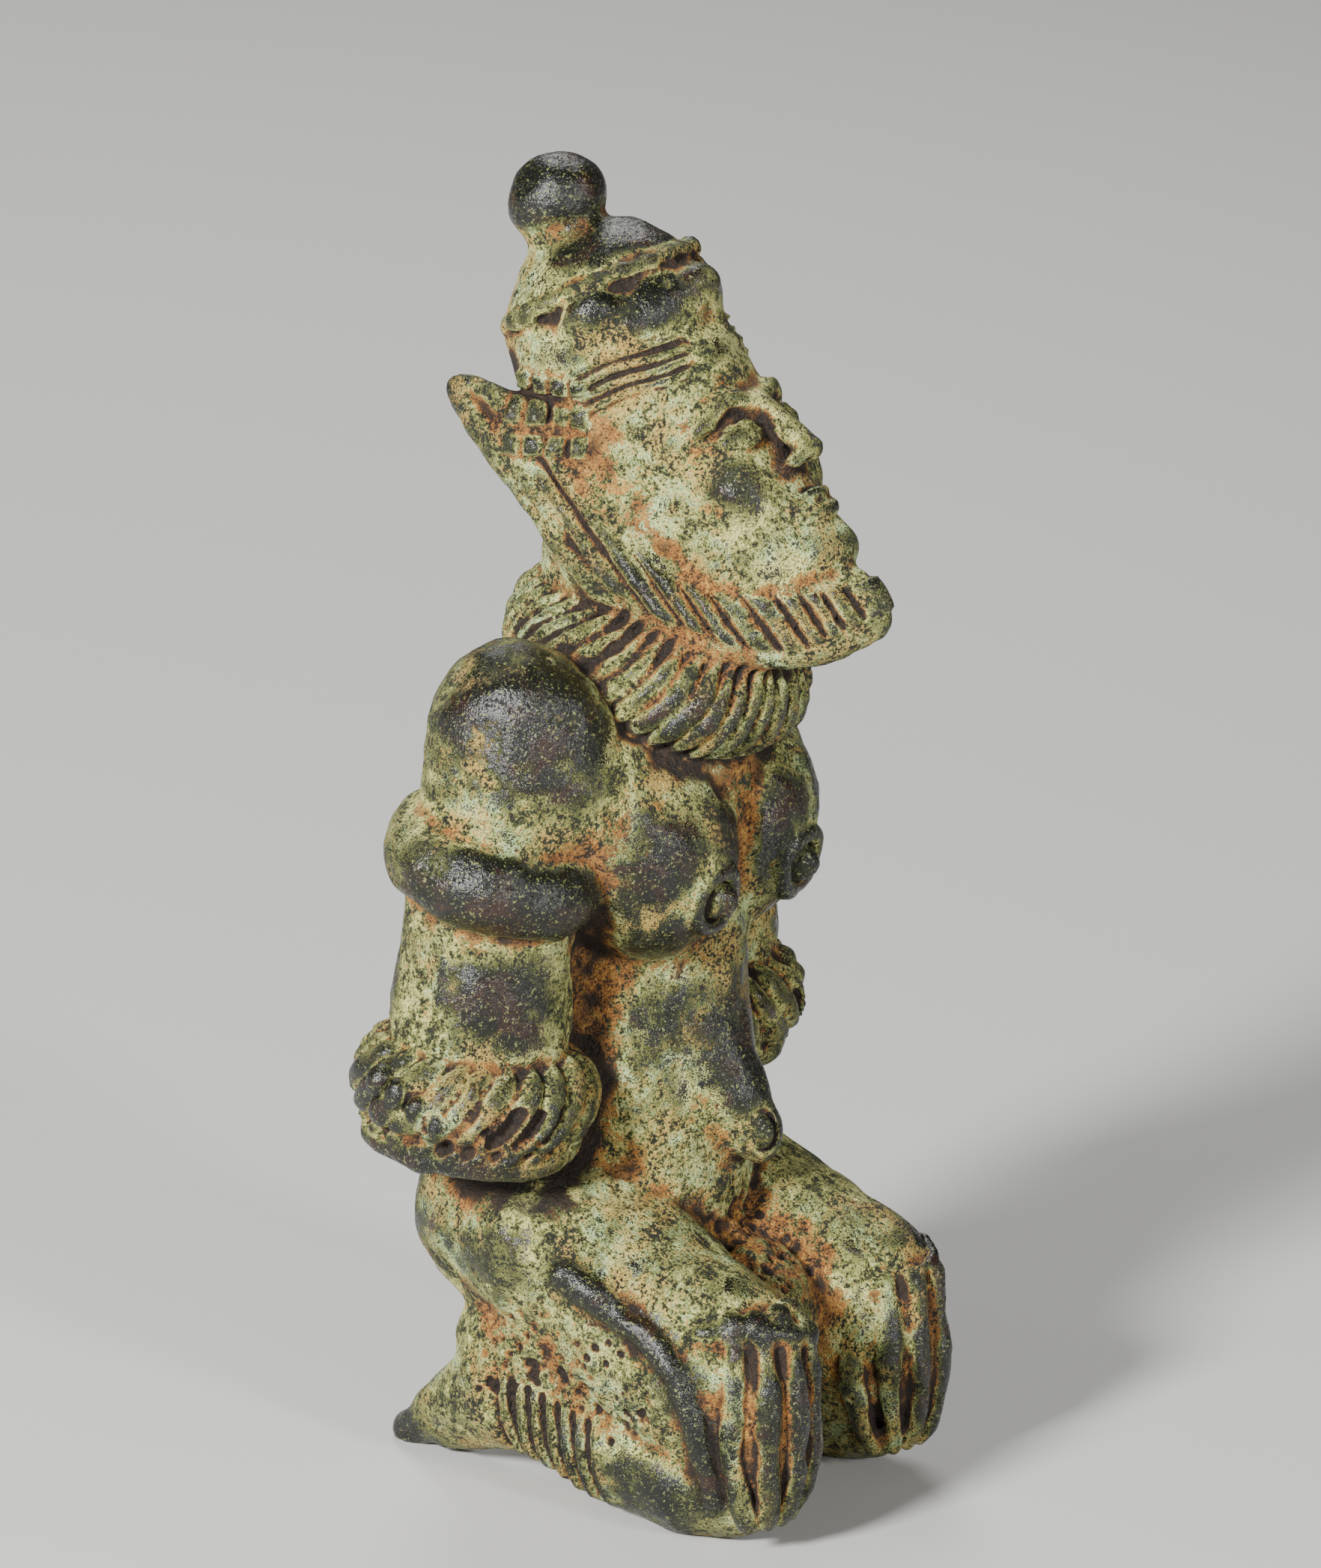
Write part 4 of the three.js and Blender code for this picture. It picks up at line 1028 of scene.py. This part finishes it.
def bronze():
    n = Nodes("corroded_bronze")
    place = n.place()
    broad = n.noise(place, 9, 4, 0.6, 0.4)
    patches = n.noise(place, 4.2, 6, 0.68, 0.5)
    mottle = n.noise(place, 1.3, 5, 0.72, 0.3)
    grain = n.noise(place, 0.42, 3, 0.75)
    fine = n.noise(place, 0.2, 2, 0.6)
    rust_patches = n.noise(place, 5.5, 6, 0.72, 0.7)
    hollow = n.value("groove")
    wide_hollow = n.value("broad")
    sheltered = n.value("shelter")
    handled_and_shaded = n.value("worn_and_shaded")
    earthy = n.value("earthy")

    # Green and pale patina, mottled down to the grain.
    tone = n.total((fine, 0.20), (grain, 0.32), (mottle, 0.34), (patches, 0.45))
    skin = n.mix(n.between(tone, 0.59, 0.655), (0.016, 0.019, 0.007), (0.150, 0.165, 0.035))
    pale = n.mix(n.between(broad, 0.44, 0.56), (0.64, 0.61, 0.21), (0.46, 0.61, 0.29))
    skin = n.mix(n.between(tone, 0.64, 0.715), skin, pale)
    cream = n.total((broad, 0.5), (rust_patches, 0.3), (grain, 0.6), (fine, 0.3))
    skin = n.mix(n.between(cream, 0.865, 0.93, 0.0, 0.7), skin, (0.52, 0.34, 0.08))

    # Rust and orange earth in the grooves and the sheltered places.
    rust_tone = n.total((mottle, 0.45), (grain, 0.35), (fine, 0.2))
    rust = n.mix(n.between(rust_tone, 0.45, 0.52), (0.030, 0.012, 0.005), (0.27, 0.10, 0.015))
    rust = n.mix(n.between(rust_tone, 0.53, 0.59, 0.0, 0.85), rust, (0.52, 0.31, 0.06))
    low_places = n.total((hollow, 0.30), (wide_hollow, 0.25), (sheltered, 0.45), (earthy, 0.55),
                         (rust_patches, 1.0), (mottle, 1.0), (grain, 1.3))
    skin = n.mix(n.between(low_places, 1.88, 2.03, 0.0, 0.95), skin, rust)

    # Dark worn metal on the high places, with pale flecks left on it; under the breasts and beside them this
    # dark metal is partly painted shade.
    high = n.total((handled_and_shaded, 0.70), (hollow, -0.25), (wide_hollow, -0.2), (sheltered, -0.4),
                   (patches, 1.6), (mottle, 1.0), (grain, 1.5), (fine, 0.9))
    bare = n.between(high, 2.80, 2.90)
    metal = n.mix(n.between(rust_patches, 0.50, 0.62), (0.005, 0.006, 0.004), (0.022, 0.009, 0.006))
    flecks = n.total((grain, 0.6), (fine, 0.4))
    metal = n.mix(n.between(flecks, 0.565, 0.605, 0.0, 0.8), metal, (0.19, 0.20, 0.06))
    colour = n.mix(bare, skin, metal)

    # Black in the deepest and most sheltered places, painted shade broken up by the grain, and black dirt in
    # the pores.
    deep = n.total((sheltered, 0.9), (hollow, 0.50), (mottle, 0.7), (grain, 0.5))
    colour = n.mix(n.between(deep, 1.03, 1.33, 0.0, 0.96), colour, (0.012, 0.007, 0.004))
    pores = n.between(n.total((grain, 0.5), (fine, 0.2), (mottle, 0.3)), 0.38, 0.455, 1.0, 0.0)
    colour = n.mix(n.math("MULTIPLY", pores, 0.8), colour, (0.020, 0.017, 0.009))

    n.put(n.shader.inputs["Base Color"], colour)
    n.shader.inputs["Specular IOR Level"].default_value = 0.5
    gloss = n.total((bare, -0.50), (grain, 0.30), (patches, 0.12))
    n.put(n.shader.inputs["Roughness"], n.math("ADD", gloss, 0.55))
    rough_skin = n.between(bare, 0.0, 1.0, 1.0, 0.2)
    bumps = n.math("MULTIPLY", n.total((fine, 0.4), (grain, 1.0), (mottle, 1.0), (pores, -0.5)), rough_skin)
    bump = n.node("ShaderNodeBump", Height=bumps)
    bump.inputs["Strength"].default_value = 0.9
    bump.inputs["Distance"].default_value = BUMP_DEPTH * MILLIMETRE
    n.put(n.shader.inputs["Normal"], bump.outputs["Normal"])
    return n.material


def plain_floor():
    n = Nodes("pale_floor")
    n.put(n.shader.inputs["Base Color"], (0.58, 0.575, 0.56, 1))
    n.put(n.shader.inputs["Roughness"], 0.85)
    return n.material


figure_object.data.materials.append(bronze())
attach(figure_object, "root")
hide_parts(NODE)

# The floor.
FLOOR_REACH = 3.0
bpy.ops.mesh.primitive_plane_add(size=2 * FLOOR_REACH, location=(0, 0, 0))
floor = bpy.context.active_object
floor.name = "floor"
floor.data.materials.append(plain_floor())
floor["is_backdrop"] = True


# The camera, at the photograph's angle. Its frame leans with the figure.
IMAGE = (1764, 2094)
PIXELS_A_MODULE = 15.05
CAMERA_AZIMUTH, CAMERA_ELEVATION, CAMERA_DISTANCE = 60, 15, 900
AIM = np.array((0, -5.0, 60.0))
AIM_ASIDE, AIM_UP = 1.97, 4.21
SENSOR = 36


def directions(azimuth, elevation):
    """The camera's own right, up and back, before it leans."""
    a, e = math.radians(azimuth), math.radians(elevation)
    back = np.array((-math.sin(a) * math.cos(e), -math.cos(a) * math.cos(e), math.sin(e)))
    right = np.array((math.cos(a), -math.sin(a), 0))
    return right, np.cross(back, right), back


right, up, back = directions(CAMERA_AZIMUTH, CAMERA_ELEVATION)
eye = AIM + AIM_ASIDE * right + AIM_UP * up + CAMERA_DISTANCE * back
axes = stood(np.array([right, up, back]))
pose = Matrix.Identity(4)
for column, axis in enumerate(axes):
    pose.col[column].xyz = Vector(axis)
pose.translation = Vector((stood(eye[None])[0] + shift) * MODULE)
camera_data = bpy.data.cameras.new("camera")
camera_data.sensor_fit = "HORIZONTAL"
camera_data.sensor_width = SENSOR
camera_data.lens = SENSOR * CAMERA_DISTANCE / (IMAGE[0] / PIXELS_A_MODULE)
camera_data.clip_start = 0.01
camera = bpy.data.objects.new("camera", camera_data)
camera.matrix_world = pose
bpy.context.scene.collection.objects.link(camera)
bpy.context.scene.camera = camera


# Soft studio light.
LIT_PLACE = (0, 0, 0.06)
AMBIENT_COLOUR, AMBIENT_STRENGTH = (1, 0.98, 0.95, 1), 0.09


def soft_light(name, place, size, watts):
    data = bpy.data.lights.new(name, "AREA")
    data.shape = "DISK"
    data.size = size
    data.energy = watts
    lamp = bpy.data.objects.new(name, data)
    lamp.location = place
    towards = Vector(LIT_PLACE) - lamp.location
    lamp.rotation_euler = towards.to_track_quat("-Z", "Y").to_euler()
    bpy.context.scene.collection.objects.link(lamp)


soft_light("key", (-0.86, 0.08, 0.43), 0.18, 23)
soft_light("second", (-0.22, -0.84, 0.36), 0.18, 5.5)
soft_light("rim", (0.45, 0.35, 0.60), 0.3, 3)
world = bpy.data.worlds.new("studio")
world.use_nodes = True
background = world.node_tree.nodes["Background"]
background.inputs["Color"].default_value = AMBIENT_COLOUR
background.inputs["Strength"].default_value = AMBIENT_STRENGTH
bpy.context.scene.world = world

boxes = {"cad": CAD_BOX, "visual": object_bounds()}
{name: [[float(c) for c in corner] for corner in box] for name, box in boxes.items()}
